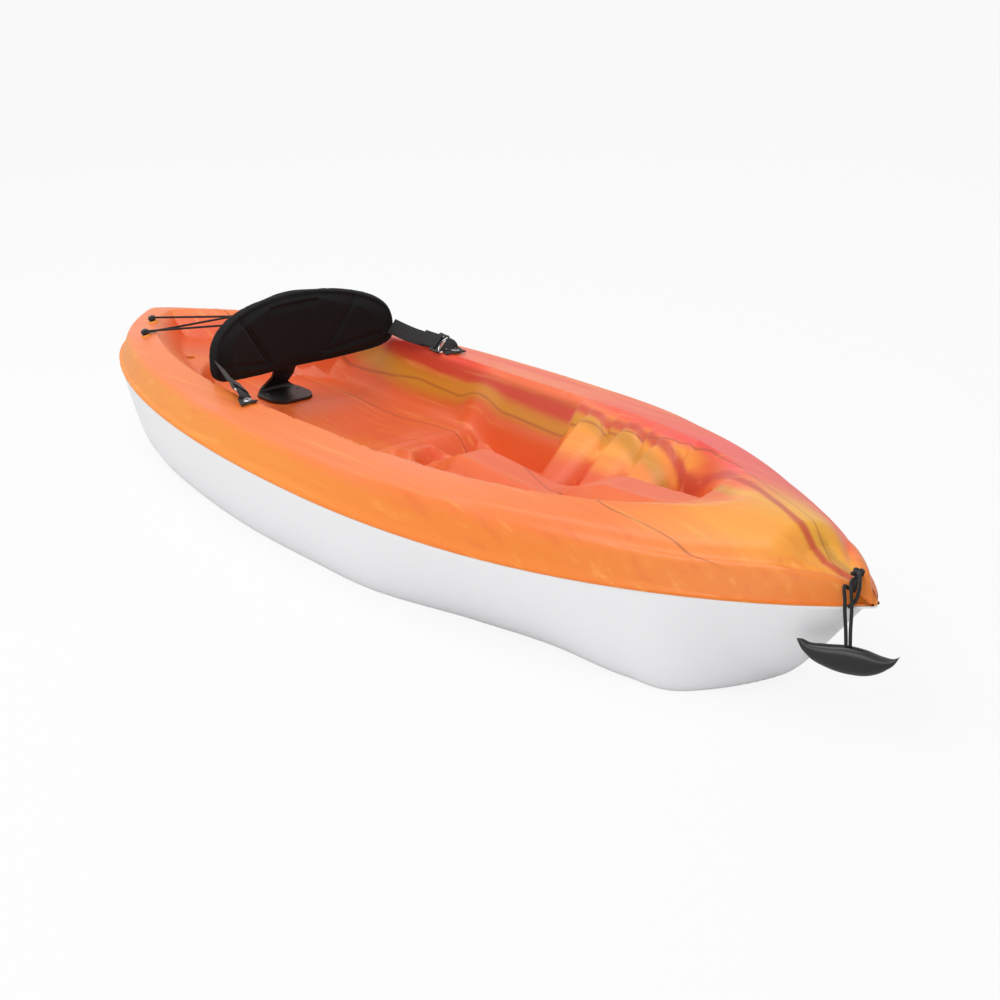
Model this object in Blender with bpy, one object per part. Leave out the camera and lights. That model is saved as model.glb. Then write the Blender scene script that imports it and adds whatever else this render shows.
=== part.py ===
"""Sit-on-top recreational kayak, 2.44 m long.

A white hull and an orange deck are formed from two plastic sheets and joined at the
gunwale. A folding backrest, an elastic cord over the tank well and a bow handle are
fitted to the deck. Metres. +X is the bow, +Y is port, +Z is up. The origin is the
middle of the length and beam, on the surface that the hull stands on."""

import math

import bmesh
import bpy
import numpy as np
from mathutils import Matrix, Vector

# Overall form
LENGTH = 2.44
BEAM = 0.735
WIDEST_X = 0.057
STERN_CURVE = (2.14, 1.713)
BOW_CURVE = (2.056, 1.238)
STERN_TIP_HALF = 0.010
BOW_TIP_HALF = 0.004
HALF_LENGTH = LENGTH / 2

# Sheets and the joint between them
SHEET = 0.0045
FLANGE = 0.004
GAP = 0.0003
SEAM_HEIGHT = 0.187
SEAM_BOW_RISE = 0.026
SEAM_RISE_X = 0.434
STEEPEST_OFFSET = 4.0

# Gunwale and rim of the deck
RIM_HEIGHT = 0.266
RIM_STERN_SLOPE = 0.020
RIM_BOW_SLOPE = 0.013
RIM_BOW_CURVE = 0.036
DECK_LEAST_RISE = 0.012
GUNWALE_SLOPE = 2.6
GUNWALE_ROUND = 0.014
GUNWALE_LEDGE = 0.006
BOW_DROP = 0.075
STERN_DROP = 0.015
CROWN = 0.030
CROWN_BOW = 0.045
GROOVE_INSET = 0.038
GROOVE_WIDTH = 0.009
GROOVE_DEPTH = 0.010

# Cockpit and tank well, one recess with a step behind the seat
RECESS_HALF = 0.241
RECESS_TIP_X = 0.953
RECESS_BOW_X = 0.056
RECESS_BOW_CURVE = (2.714, 1.155)
RECESS_AFT_X = -0.30
RECESS_STERN_X = -1.105
RECESS_STERN_CURVE = (1.9, 1.55)
RECESS_WALL = 0.042
SEAT_HEIGHT = 0.155
SEAT_HOLLOW = 0.016
SEAT_HOLLOW_X = -0.34
SEAT_LIP = 0.012
TANK_HEIGHT = 0.200
BULKHEAD_X = -0.806
BULKHEAD_RUN = 0.045
BULKHEAD_BOW = 6.9

# Leg wells, console and foot blocks
WELL_HEIGHT = 0.105
WELL_HALF = 0.215
WELL_AFT_X = -0.085
WELL_NARROW_X = 0.30
WELL_BOW_X = 0.765
WELL_SHOULDER = 0.028
CONSOLE_LINE = ((-0.14, 0.155), (-0.06, 0.165), (0.03, 0.168), (0.13, 0.208), (0.36, 0.206),
                (0.60, 0.262), (0.80, 0.292), (0.953, 0.313))
LEDGE_LINE = ((-0.16, 0.167), (0.0, 0.172), (0.55, 0.180), (0.76, 0.275), (0.953, 0.308))
CONSOLE_FLAT = 0.030
CONSOLE_SLOPE = 0.95
FOOT_BLOCKS = ((0.245, 0.247), (0.37, 0.252), (0.49, 0.257))
FOOT_BLOCK_HALF = 0.056
FOOT_BLOCK_SLOPE = 0.80
FOOT_BLOCK_TOP = 0.030
CUP_X = -0.015
CUP_RADIUS = 0.046
CUP_DEPTH = 0.055
CUP_WALL = 0.010
BOW_RECESS_X = 1.12
BOW_RECESS_RADIUS = 0.050
BOW_RECESS_DEPTH = 0.022

# Hull bottom
CONTACT_LINE = ((-1.04, 0.0), (-0.93, 0.150), (-0.80, 0.197), (-0.62, 0.235), (-0.30, 0.275),
                (-0.05, 0.280), (0.16, 0.275), (0.42, 0.215), (0.62, 0.175), (0.80, 0.165),
                (0.90, 0.140), (1.00, 0.0))
HULL_INSET = 0.002
STEM_X = 1.000
STEM_SLOPE = 1.08
STEM_ROUND = 0.05
STERN_X = -1.05
STERN_SLOPE = 1.0
STERN_ROUND = 0.10
SIDE_CURVE = 1.30
SIDE_CURVE_ENDS = 0.45
TUNNEL_DEPTH = 0.024

# Mesh of the two sheets
DECK_RUNS = ((-1.22, -1.05, 6), (-1.05, -0.86, 4), (-0.86, -0.62, 9), (-0.62, -0.16, 7),
             (-0.16, -0.068, 4), (-0.068, 0.038, 8), (0.038, 0.185, 5), (0.185, 0.555, 16),
             (0.555, 0.80, 7), (0.80, 1.04, 6), (1.04, 1.22, 8))
HULL_RUNS = ((-1.22, -0.90, 8), (-0.90, -0.30, 5), (-0.30, 0.50, 6), (0.50, 0.90, 6), (0.90, 1.22, 11))
DECK_COLUMNS = 12
HULL_COLUMNS = 9
SECTION_SAMPLES = 500
BEND_WEIGHT = 0.020

# Scuppers
SCUPPERS = ((0.015, 0.128), (-0.88, 0.075))
SCUPPER_BORE = 0.011
SCUPPER_WALL = 0.003

# Foam inside, each block from one X to the other with its half width
FOAM_BLOCKS = (("foam_block_bow", 0.80, 0.93, 0.045), ("foam_block_seat", -0.48, -0.22, 0.045),
               ("foam_block_stern", -0.955, -0.855, 0.038))
FOAM_CLEARANCE = 0.004

# Drain plug, on the port side of the stern
PLUG_X = -1.120
PLUG_HEIGHT = 0.213
PLUG_RADIUS = 0.0085
PLUG_LENGTH = 0.016
PLUG_HEAD_RADIUS = 0.0135
PLUG_HEAD = 0.006
PLUG_BOSS_RADIUS = 0.0155
PLUG_BOSS_RISE = 0.004
PLUG_BOSS_DEPTH = 0.022
SEAL_THICKNESS = 0.002
SEAL_INSET = 0.001
RUNNING_GAP = 0.0005

# Backrest
BACK_X = -0.555
BACK_HEIGHT = 0.208
BACK_HALF = 0.222
BACK_WRAP = 0.065
BACK_LEAN = -3.0
BACK_END = 0.081
BACK_TOP = 0.115
BACK_TOP_CURVE = 1.713
BACK_LOW = 0.063
BACK_LOW_CURVE = 2.237
BACK_CORNER = 2.2
PAD_HALF_THICKNESS = 0.017
PAD_COLUMNS = 24
PAD_ROWS = 10
CHANNEL_TOP = (0.140, 0.165)
CHANNEL_LOW = (0.070, 0.055)
CHANNEL_OUT = (0.175, 0.070)
CHANNEL_DEPTH = 0.006
CHANNEL_WIDTH = 0.009
PANEL_THICKNESS = 0.0025
PANEL_MARGIN_COLUMNS = 6
PANEL_MARGIN_ROWS = 3

# Tongue that carries the backrest
HINGE_X = -0.600
HINGE_RISE = 0.048
TONGUE_THICKNESS = 0.005
TONGUE_NECK_HALF = 0.027
TONGUE_FOOT_HALF = 0.052
TONGUE_FRONT_X = -0.538
TONGUE_BEND = 0.010
TONGUE_NECK_ANGLE = 38.0
BLADE_START = 0.030
BLADE_LENGTH = 0.080
TONGUE_SCREW_X = -0.606
TONGUE_SCREW_HALF = 0.038
FOOT_PAD_RISE = 0.002
FOOT_PAD_DEPTH = 0.009

# Straps of the backrest
STRAP_WIDTH = 0.038
STRAP_THICKNESS = 0.0016
STRAP_ROOT_Y = 0.218
STRAP_ROOT_RISE = 0.005
STRAP_TILT = 42.0
STRAP_TILT_LOW = 22.0
ANCHOR_X = -0.300
ANCHOR_Y = 0.254
TAB_BEYOND = 0.016
TAB_FLAT = 0.010
TAB_THICKNESS = 0.0032
ANCHOR_PLATE_RADIUS = 0.009
ANCHOR_PLATE = 0.0015
BAR_REACH = 0.027
BAR_RISE = 0.0125
BAR_RADIUS = 0.002
BAR_LENGTH = 0.042
BUCKLE_LENGTH = 0.030
BUCKLE_WIDTH = 0.046
BUCKLE_THICKNESS = 0.006
BUCKLE_SLOT = 0.0035

# Screws and bosses
SCREW_RADIUS = 0.0022
SCREW_HEAD_RADIUS = 0.0048
SCREW_HEAD = 0.0026
SCREW_LENGTH = 0.014
SCREW_POINT = 0.003
BORE_REACH = 0.035
BOSS_RADIUS = 0.011
BOSS_RISE = 0.003
BOSS_DEPTH = 0.010

# Elastic cord over the tank well, from button to button
BUTTONS = ((-1.045, -0.078), (-0.955, -0.143), (-0.905, 0.160), (-0.740, 0.212), (-0.822, 0.186))
BUNGEE_REAR = (1, 5)
BUNGEE_FRONT = (3, 2, 4)
BUNGEE_RADIUS = 0.0025
BUTTON_RADIUS = 0.0095
BUTTON_NECK = 0.0045
BUTTON_HEIGHT = 0.015
BUTTON_FOOT_RADIUS = 0.0075
BUTTON_CORD_HEIGHT = 0.0065
BUNGEE_END_WRAP = 250.0

# Bow handle
ROPE_HOLE_X = 1.180
ROPE_HOLE_RADIUS = 0.0055
ROPE_BOSS_RADIUS = 0.011
ROPE_BOSS_RISE = 0.0015
ROPE_RADIUS = 0.003
ROPE_EDGE_OFFSET = 0.0065
ROPE_EDGE_X = 1.192
ROPE_SPREAD = 0.0075
ROPE_CLEARANCE = 0.0012
KNOT_RADIUS = 0.010
KNOT_HEIGHT = 0.016
GRIP_TOP = 0.147
GRIP_HEADING = 26.0
GRIP_LENGTH = 0.172
GRIP_HEIGHT = 0.048
GRIP_THICKNESS = 0.026
GRIP_END_RADIUS = 0.005
GRIP_END_DROP = 0.004

for old in list(bpy.data.objects):
    bpy.data.objects.remove(old, do_unlink=True)


def linear(hex_colour):
    """An sRGB hex colour as linear red, green, blue and alpha."""
    parts = [int(hex_colour[i:i + 2], 16) / 255 for i in (1, 3, 5)]
    return tuple(p / 12.92 if p <= 0.04045 else ((p + 0.055) / 1.055) ** 2.4 for p in parts) + (1.0,)


def piece(name, points, faces, colour, roughness=0.5, metallic=0.0, sharp=40.0):
    """One named object with its own material, shaded smooth up to the sharp angle."""
    mesh = bpy.data.meshes.new(name)
    mesh.from_pydata([tuple(p) for p in points], [], faces)
    shape = bmesh.new()
    shape.from_mesh(mesh)
    bmesh.ops.recalc_face_normals(shape, faces=shape.faces)
    shape.to_mesh(mesh)
    shape.free()
    mesh.shade_smooth()
    mesh.set_sharp_from_angle(angle=math.radians(sharp))
    finish = bpy.data.materials.new(name)
    finish.use_nodes = True
    shader = finish.node_tree.nodes["Principled BSDF"]
    shader.inputs["Base Color"].default_value = linear(colour)
    shader.inputs["Roughness"].default_value = roughness
    shader.inputs["Metallic"].default_value = metallic
    mesh.materials.append(finish)
    made = bpy.data.objects.new(name, mesh)
    bpy.context.collection.objects.link(made)
    return made


def cutter(name, solids):
    """A hidden object made of several closed solids, for a Boolean."""
    points = []
    faces = []
    for some_points, some_faces in solids:
        first = len(points)
        points += list(some_points)
        faces += [[first + i for i in face] for face in some_faces]
    made = piece(name, points, faces, "#808080")
    made.hide_render = True
    made.display_type = "WIRE"
    return made


def boolean(target, tool, operation):
    """Joins the tool to the target or cuts it out, with the EXACT solver."""
    change = target.modifiers.new(tool.name, "BOOLEAN")
    change.object = tool
    change.operation = operation
    change.solver = "EXACT"


def turned(profile, sides, start, axis, ring=False):
    """A solid turned from (radius, height) points: from axis to axis, or a closed ring."""
    axis = Vector(axis).normalized()
    turn = Vector((0, 0, 1)).rotation_difference(axis).to_matrix()
    points = []
    rings = []
    for radius, height in profile:
        if radius == 0:
            rings.append([len(points)])
            points.append(Vector((0, 0, height)))
            continue
        rings.append(list(range(len(points), len(points) + sides)))
        for k in range(sides):
            angle = 2 * math.pi * k / sides
            points.append(Vector((radius * math.cos(angle), radius * math.sin(angle), height)))
    faces = []
    for low, high in zip(rings, rings[1:] + (rings[:1] if ring else [])):
        for k in range(sides):
            a = low[k % len(low)]
            b = low[(k + 1) % len(low)]
            c = high[(k + 1) % len(high)]
            d = high[k % len(high)]
            face = [a, b, c, d]
            faces.append([v for n, v in enumerate(face) if v != face[n - 1]])
    return [Vector(start) + turn @ p for p in points], faces


def rod(radius, low, high, sides, start, axis):
    """A plain cylinder along the axis, from low to high past the start."""
    return turned([(0, low), (radius, low), (radius, high), (0, high)], sides, start, axis)


def lofted(sections):
    """A closed solid through rings of points, with a flat face at each end."""
    count = len(sections[0])
    points = [p for ring in sections for p in ring]
    faces = [list(range(count))[::-1]]
    for i in range(len(sections) - 1):
        for k in range(count):
            n = (k + 1) % count
            faces.append([i * count + k, i * count + n, (i + 1) * count + n, (i + 1) * count + k])
    faces.append([(len(sections) - 1) * count + k for k in range(count)])
    return points, faces


def slab(near, far, mirrored=False):
    """A closed solid between two like grids of points, both split along the same diagonals."""
    rows = len(near[0])
    under = len(near) * rows
    points = [p for grid in (near, far) for line in grid for p in line]
    faces = []
    for i in range(len(near) - 1):
        for j in range(rows - 1):
            a = i * rows + j
            b = a + rows
            if mirrored and j < rows // 2:
                halves = ((a, b, a + 1), (b, b + 1, a + 1))
            else:
                halves = ((a, b, b + 1), (a, b + 1, a + 1))
            for half in halves:
                faces.append(half)
                faces.append([under + k for k in half[::-1]])
        for a in (i * rows, i * rows + rows - 1):
            faces.append((a, a + rows, under + a + rows, under + a))
    for start in (0, (len(near) - 1) * rows):
        for a in range(start, start + rows - 1):
            faces.append((a, a + 1, under + a + 1, under + a))
    return points, faces


def band(path, widths, thickness, faces):
    """A flat band along a path, as wide as given at each point and looking along its face."""
    under = []
    over = []
    for n, (point, width, out) in enumerate(zip(path, widths, faces)):
        along = path[min(n + 1, len(path) - 1)] - path[max(n - 1, 0)]
        half = Vector(out).cross(along).normalized() * (width / 2)
        thick = along.cross(half).normalized() * (thickness / 2)
        under.append([point - half - thick, point + half - thick])
        over.append([point - half + thick, point + half + thick])
    return slab(under, over)


def cord(name, points, radius, colour):
    """A round cord along a poly line, with filled ends."""
    line = bpy.data.curves.new(name, "CURVE")
    line.dimensions = "3D"
    spline = line.splines.new("POLY")
    spline.points.add(len(points) - 1)
    for target, point in zip(spline.points, points):
        target.co = (*point, 1.0)
    line.bevel_depth = radius
    line.bevel_resolution = 2
    line.use_fill_caps = True
    finish = bpy.data.materials.new(name)
    finish.use_nodes = True
    finish.node_tree.nodes["Principled BSDF"].inputs["Base Color"].default_value = linear(colour)
    line.materials.append(finish)
    made = bpy.data.objects.new(name, line)
    bpy.context.collection.objects.link(made)
    return made


def smooth(t):
    t = np.clip(t, 0.0, 1.0)
    return t * t * (3.0 - 2.0 * t)


def step(x, start, end):
    """Rises from 0 at the start to 1 at the end."""
    return smooth((x - start) / (end - start))


def soft_min(a, b, radius):
    """The lower of two heights, with the crease between them rounded."""
    mix = np.clip(0.5 + 0.5 * (b - a) / radius, 0.0, 1.0)
    return b * (1 - mix) + a * mix - radius * mix * (1 - mix)


def soft_max(a, b, radius):
    return -soft_min(-a, -b, radius)


def ramps(x, line):
    """A height along the length that eases from each point of the line to the next."""
    height = np.full(np.shape(x), float(line[0][1]))
    for (x0, z0), (x1, z1) in zip(line, line[1:]):
        height = height + (z1 - z0) * step(x, x0, x1)
    return height


def curve_through(x, line):
    """A smooth curve through the line's points, level past its ends."""
    knots = np.array([p[0] for p in line])
    values = np.array([p[1] for p in line])
    slopes = np.gradient(values, knots)
    x = np.clip(x, knots[0], knots[-1])
    i = np.clip(np.searchsorted(knots, x) - 1, 0, len(knots) - 2)
    run = knots[i + 1] - knots[i]
    t = (x - knots[i]) / run
    start = (2 * t ** 3 - 3 * t ** 2 + 1) * values[i] + (t ** 3 - 2 * t ** 2 + t) * run * slopes[i]
    end = (3 * t ** 2 - 2 * t ** 3) * values[i + 1] + (t ** 3 - t ** 2) * run * slopes[i + 1]
    return np.maximum(start + end, 0.0)


def oval(t, curve):
    """1 at t = 0, falling to 0 at t = 1 along a full or a fine curve."""
    return np.clip(1 - np.clip(t, 0.0, 1.0) ** curve[0], 0.0, 1.0) ** (1 / curve[1])


def outline_half(x):
    """Half breadth of the kayak at the seam."""
    stern = oval((WIDEST_X - x) / (WIDEST_X + HALF_LENGTH), STERN_CURVE)
    bow = oval((x - WIDEST_X) / (HALF_LENGTH - WIDEST_X), BOW_CURVE)
    half = BEAM / 2 * np.where(x < WIDEST_X, stern, bow)
    return np.maximum(half, np.where(x < 0, STERN_TIP_HALF, BOW_TIP_HALF))


def recess_half(x):
    """Half width of the recess at its rim, cockpit and tank well together."""
    bow = oval((x - RECESS_BOW_X) / (RECESS_TIP_X - RECESS_BOW_X), RECESS_BOW_CURVE)
    stern = oval((RECESS_AFT_X - x) / (RECESS_AFT_X - RECESS_STERN_X), RECESS_STERN_CURVE)
    return RECESS_HALF * np.where(x > RECESS_BOW_X, bow, stern)


def leg_well_half(x):
    """Half width of both leg wells together, with the console between them."""
    return WELL_HALF * oval((x - WELL_NARROW_X) / (WELL_BOW_X - WELL_NARROW_X), (2.6, 1.8))


def squareness(x, half, steepest):
    """Turns a distance across the kayak into the distance from a slanting outline."""
    slope = (half(x + 0.001) - half(x - 0.001)) / 0.002
    return 1 / np.sqrt(1 + np.clip(slope, -steepest, steepest) ** 2)


def seam_height(x):
    rise = np.clip((x - SEAM_RISE_X) / (HALF_LENGTH - SEAM_RISE_X), 0.0, None)
    return SEAM_HEIGHT + SEAM_BOW_RISE * rise ** 2


def rim_height(x):
    return RIM_HEIGHT + np.where(x > 0, RIM_BOW_SLOPE * x + RIM_BOW_CURVE * x * x, RIM_STERN_SLOPE * x)


def gunwale_surface(x, a):
    """The deck's top and its side wall down to the seam, before anything is sunk into it."""
    half = outline_half(x)
    seam = seam_height(x)
    top = rim_height(np.clip(x, -1.15, RECESS_TIP_X))
    top = top - BOW_DROP * np.clip((x - 0.93) / (HALF_LENGTH - 0.93), 0, 1) ** 2
    top = top - STERN_DROP * np.clip((-1.08 - x) / (HALF_LENGTH - 1.08), 0, 1) ** 2
    crown = CROWN + CROWN_BOW * step(x, 0.45, 1.0)
    wide = np.maximum(half, 0.03)
    top = top - crown * (np.clip(a / wide, 0, 1.2) ** 2 - np.clip(recess_half(x) / wide, 0, 1) ** 2)
    top = np.maximum(top, seam + DECK_LEAST_RISE)
    inset = (half - a) * squareness(x, outline_half, 4.0)
    wall = seam + FLANGE + np.clip(inset - GUNWALE_LEDGE, 0, None) * GUNWALE_SLOPE
    height = soft_min(top, wall, GUNWALE_ROUND)
    groove = step(x, 0.30, 0.60) * (1 - step(x, 1.10, 1.18))
    height = height - groove * GROOVE_DEPTH * np.exp(-((inset - GROOVE_INSET) / GROOVE_WIDTH) ** 2)
    return np.maximum(height, seam + FLANGE)


def cockpit_floor(x, a):
    """Seat, console, ledges, leg wells and foot blocks."""
    hollow = np.cos(np.clip((x - SEAT_HOLLOW_X) / 0.18, -1, 1) * math.pi / 2) ** 2
    seat = SEAT_HEIGHT - SEAT_HOLLOW * hollow * np.exp(-(a / 0.16) ** 4)
    seat = seat + SEAT_LIP * step(a, 0.14, 0.20)
    base = seat + (ramps(x, LEDGE_LINE) - seat) * step(x, -0.16, -0.04)
    inset = (leg_well_half(x) - WELL_SHOULDER - a) * squareness(x, leg_well_half, 6.0)
    depth = smooth(inset / 0.030) * step(x, WELL_AFT_X - 0.065, WELL_AFT_X + 0.065)
    floor = base + (WELL_HEIGHT - base) * depth
    console = ramps(x, CONSOLE_LINE) - CONSOLE_SLOPE * np.clip(a - CONSOLE_FLAT, 0, None)
    floor = np.where(x > -0.14, soft_max(floor, console, 0.012), floor)
    for middle, top in FOOT_BLOCKS:
        reach = recess_half(np.full(np.shape(x), middle)) - FOOT_BLOCK_TOP - a
        block = soft_min(np.full(np.shape(a), top), top - FOOT_BLOCK_SLOPE * reach, 0.02)
        along = np.clip(1 - np.abs((x - middle) / FOOT_BLOCK_HALF) ** 3.5, 0, 1) ** 0.6
        low = WELL_HEIGHT - 0.02
        raised = low + (block - low) * along
        floor = np.where(along > 0, soft_max(floor, raised, 0.010), floor)
    return floor


def deck_height(x, a):
    """Height of the deck's outer face at a distance a from the middle plane."""
    gunwale = gunwale_surface(x, a)
    bulkhead = BULKHEAD_X + BULKHEAD_BOW * a ** 2
    tank = step(-x, -bulkhead, -bulkhead + BULKHEAD_RUN)
    floor = cockpit_floor(x, a)
    floor = floor + (TANK_HEIGHT - floor) * tank
    inset = (recess_half(x) - a) * squareness(x, recess_half, 6.0)
    sunk = gunwale + (np.minimum(floor, gunwale) - gunwale) * smooth(inset / RECESS_WALL)
    height = np.where(inset > 0, sunk, gunwale)
    cup = smooth((CUP_RADIUS - np.hypot(x - CUP_X, a)) / CUP_WALL)
    height = height - CUP_DEPTH * cup
    bow = np.hypot((x - BOW_RECESS_X) / 0.9, a)
    hollow = smooth((BOW_RECESS_RADIUS - bow) / 0.018) * step(x, 1.05, 1.10)
    height = height - BOW_RECESS_DEPTH * hollow
    return np.where(inset > 0, height, np.maximum(height, seam_height(x) + FLANGE))


def keel_height(x):
    """Height of the middle of the bottom: level, with a stem and a stern that sweep up."""
    bow = 0.5 * STEM_SLOPE * (x - STEM_X + np.hypot(x - STEM_X, STEM_ROUND))
    stern = 0.5 * STERN_SLOPE * (STERN_X - x + np.hypot(STERN_X - x, STERN_ROUND))
    lift = np.maximum(bow, stern)
    level = 0.5 * STEM_SLOPE * (0.90 - STEM_X + math.hypot(0.90 - STEM_X, STEM_ROUND))
    return np.clip(lift - level, 0.0, None)


def hull_half(x):
    return outline_half(x) - HULL_INSET * np.clip(outline_half(x) / 0.02 - 0.5, 0, 1)


def hull_height(x, a):
    """Height of the hull's outer face at a distance a from the middle plane."""
    half = hull_half(x)
    top = seam_height(x) - FLANGE
    keel = np.minimum(keel_height(x), top)
    contact = np.minimum(curve_through(x, CONTACT_LINE), 0.9 * half)
    curve = SIDE_CURVE + SIDE_CURVE_ENDS * step(np.abs(x), 0.35, 0.85)
    side = np.clip((a - contact) / (half - contact), 0, 1) ** curve
    height = keel + (top - keel) * side
    across = np.clip((a / np.maximum(contact, 0.02) - 0.52) / 0.30, -1, 1)
    tunnel = TUNNEL_DEPTH * np.cos(across * math.pi / 2) ** 2
    tunnel = tunnel * step(x, -1.02, -0.85) * (1 - step(x, 0.62, 0.86))
    return np.minimum(height + tunnel, top)


def sheet_offset(height, x, a):
    """How far below a sloping face the sheet's other face lies, measured straight down."""
    along = (height(x + 0.001, a) - height(x - 0.001, a)) / 0.002
    across = (height(x, a + 0.001) - height(x, np.abs(a - 0.001))) / 0.002
    return SHEET * np.clip(np.sqrt(1 + along ** 2 + across ** 2), 1.0, STEEPEST_OFFSET)


def deck_underside(x, a):
    below = deck_height(x, a) - sheet_offset(deck_height, x, a)
    return np.where(a < recess_half(x), below, np.maximum(below, seam_height(x) + GAP / 2))


def hull_inside(x, a):
    above = hull_height(x, a) + sheet_offset(hull_height, x, a)
    return np.minimum(above, seam_height(x) - GAP / 2)


def stations(runs):
    """Places along the length, each run from one X to another with a count of steps."""
    scale = HALF_LENGTH / 1.22
    places = [runs[0][0] * scale]
    for start, end, count in runs:
        places += [scale * (start + (end - start) * k / count) for k in range(1, count + 1)]
    return np.array(places)


def section(height, x, half, columns):
    """Distances from the middle plane that share out the section's length and bends."""
    a = half * np.linspace(0, 1, SECTION_SAMPLES)
    z = height(np.full(a.shape, x), a)
    run = np.hypot(np.diff(a), np.diff(z))
    slope = np.arctan2(np.diff(z), np.diff(a))
    bend = np.abs(np.diff(slope, prepend=slope[0]))
    weight = np.concatenate(([0.0], np.cumsum(run + BEND_WEIGHT * bend)))
    return np.interp(np.linspace(0, weight[-1], columns + 1), weight, a) / half


def shell(places, half_of, shaping, top_of, bottom_of, columns):
    """A sheet as one closed solid: an upper face, a lower face and the edge between them."""
    rows = np.array([section(shaping, x, float(half_of(x)), columns) for x in places])
    for _ in range(2):
        rows[1:-1] = (rows[:-2] + 2 * rows[1:-1] + rows[2:]) / 4
    grids = []
    for face_of in (top_of, bottom_of):
        grid = []
        for x, row in zip(places, rows):
            a = float(half_of(x)) * row
            z = face_of(np.full(a.shape, x), a)
            grid.append([(x, -a[k], z[k]) for k in range(columns, 0, -1)]
                        + [(x, a[k], z[k]) for k in range(columns + 1)])
        grids.append(grid)
    return slab(*grids, mirrored=True)


def on_deck(x, y):
    """A point of the deck's face and the direction that the face looks in."""
    a = abs(y)
    here = float(deck_height(np.array(x), np.array(a)))
    run = 0.006
    along = float(deck_height(np.array(x + run), np.array(a)) - deck_height(np.array(x - run), np.array(a)))
    across = float(deck_height(np.array(x), np.array(a + run)) - deck_height(np.array(x), np.array(abs(a - run))))
    normal = Vector((-along / (2 * run), -math.copysign(across / (2 * run), y * across), 1.0))
    return Vector((x, y, here)), normal.normalized()


def screw(name, seat, axis, length):
    """A pan-head screw whose head rests at the seat and looks along the axis."""
    profile = [(0, -length), (SCREW_RADIUS, SCREW_POINT - length), (SCREW_RADIUS, 0), (SCREW_HEAD_RADIUS, 0),
               (SCREW_HEAD_RADIUS, SCREW_HEAD * 0.4), (SCREW_HEAD_RADIUS * 0.6, SCREW_HEAD), (0, SCREW_HEAD)]
    return piece(name, *turned(profile, 8, seat, axis), "#B9BCC0", 0.3, 1.0)


def screw_bore(seat, axis):
    """The cutter for a screw's hole, longer than anything the screw goes through."""
    return rod(SCREW_RADIUS + GAP, -BORE_REACH, BORE_REACH, 8, seat, axis)


def boss(seat, axis):
    """A moulded boss that stands a little above the deck and reaches below it."""
    return rod(BOSS_RADIUS, -BOSS_DEPTH, BOSS_RISE, 12, seat, axis)


def axis_point(name, place, pieces):
    """An empty on a joint's axis that carries the pieces which move with the joint."""
    empty = bpy.data.objects.new(name, None)
    empty.empty_display_size = 0.02
    empty.location = place
    bpy.context.collection.objects.link(empty)
    for moving in pieces:
        moving.parent = empty
        moving.matrix_parent_inverse = Matrix.Translation(place).inverted()


ORANGE = "#F2823E"
BLACK = "#141214"
deck_bosses = []
deck_bores = []
hull_bores = []

# The two sheets
deck = piece("deck_shell", *shell(stations(DECK_RUNS), outline_half, deck_height, deck_height,
                                  deck_underside, DECK_COLUMNS), ORANGE, 0.35)
hull = piece("hull_shell", *shell(stations(HULL_RUNS), hull_half, hull_height, hull_inside,
                                  hull_height, HULL_COLUMNS), "#E8E8EA", 0.3)

# Scuppers: tubes of the deck that reach through the hull
for tube_x, tube_y in SCUPPERS:
    for side in (-1, 1):
        floor_z = float(deck_height(np.array(tube_x), np.array(tube_y)))
        bottom_z = float(hull_height(np.array(tube_x), np.array(tube_y)))
        axis_foot = Vector((tube_x, side * tube_y, 0))
        outer = SCUPPER_BORE + SCUPPER_WALL
        deck_bosses.append(rod(outer, bottom_z + 0.001, floor_z - SHEET / 2, 14, axis_foot, (0, 0, 1)))
        deck_bores.append(rod(SCUPPER_BORE, -0.02, floor_z + 0.03, 14, axis_foot, (0, 0, 1)))
        hull_bores.append(rod(outer + GAP, -0.02, bottom_z + 0.03, 14, axis_foot, (0, 0, 1)))


def faceted(height, runs, x, across):
    """A sheet's heights across the kayak at x, as its flat facets give them."""
    places = stations(runs)
    i = min(max(int(np.searchsorted(places, x)) - 1, 0), len(places) - 2)
    share = (x - places[i]) / (places[i + 1] - places[i])
    before = height(np.full(across.shape, places[i]), across)
    after = height(np.full(across.shape, places[i + 1]), across)
    return before + (after - before) * share


# Foam blocks that stand on the hull and stop just under the deck
for name, start_x, end_x, half_width in FOAM_BLOCKS:
    sections = []
    across = np.linspace(0, half_width, 12)
    for x in np.linspace(start_x, end_x, 6):
        ceiling = faceted(deck_underside, DECK_RUNS, x, across).min() - FOAM_CLEARANCE
        ground = faceted(hull_inside, HULL_RUNS, x, across).max() + 2 * GAP
        sections.append([Vector((x, -half_width, ground)), Vector((x, half_width, ground)),
                         Vector((x, half_width, ceiling)), Vector((x, -half_width, ceiling))])
    piece(name, *lofted(sections), "#F4F4F0", 0.9)

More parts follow.
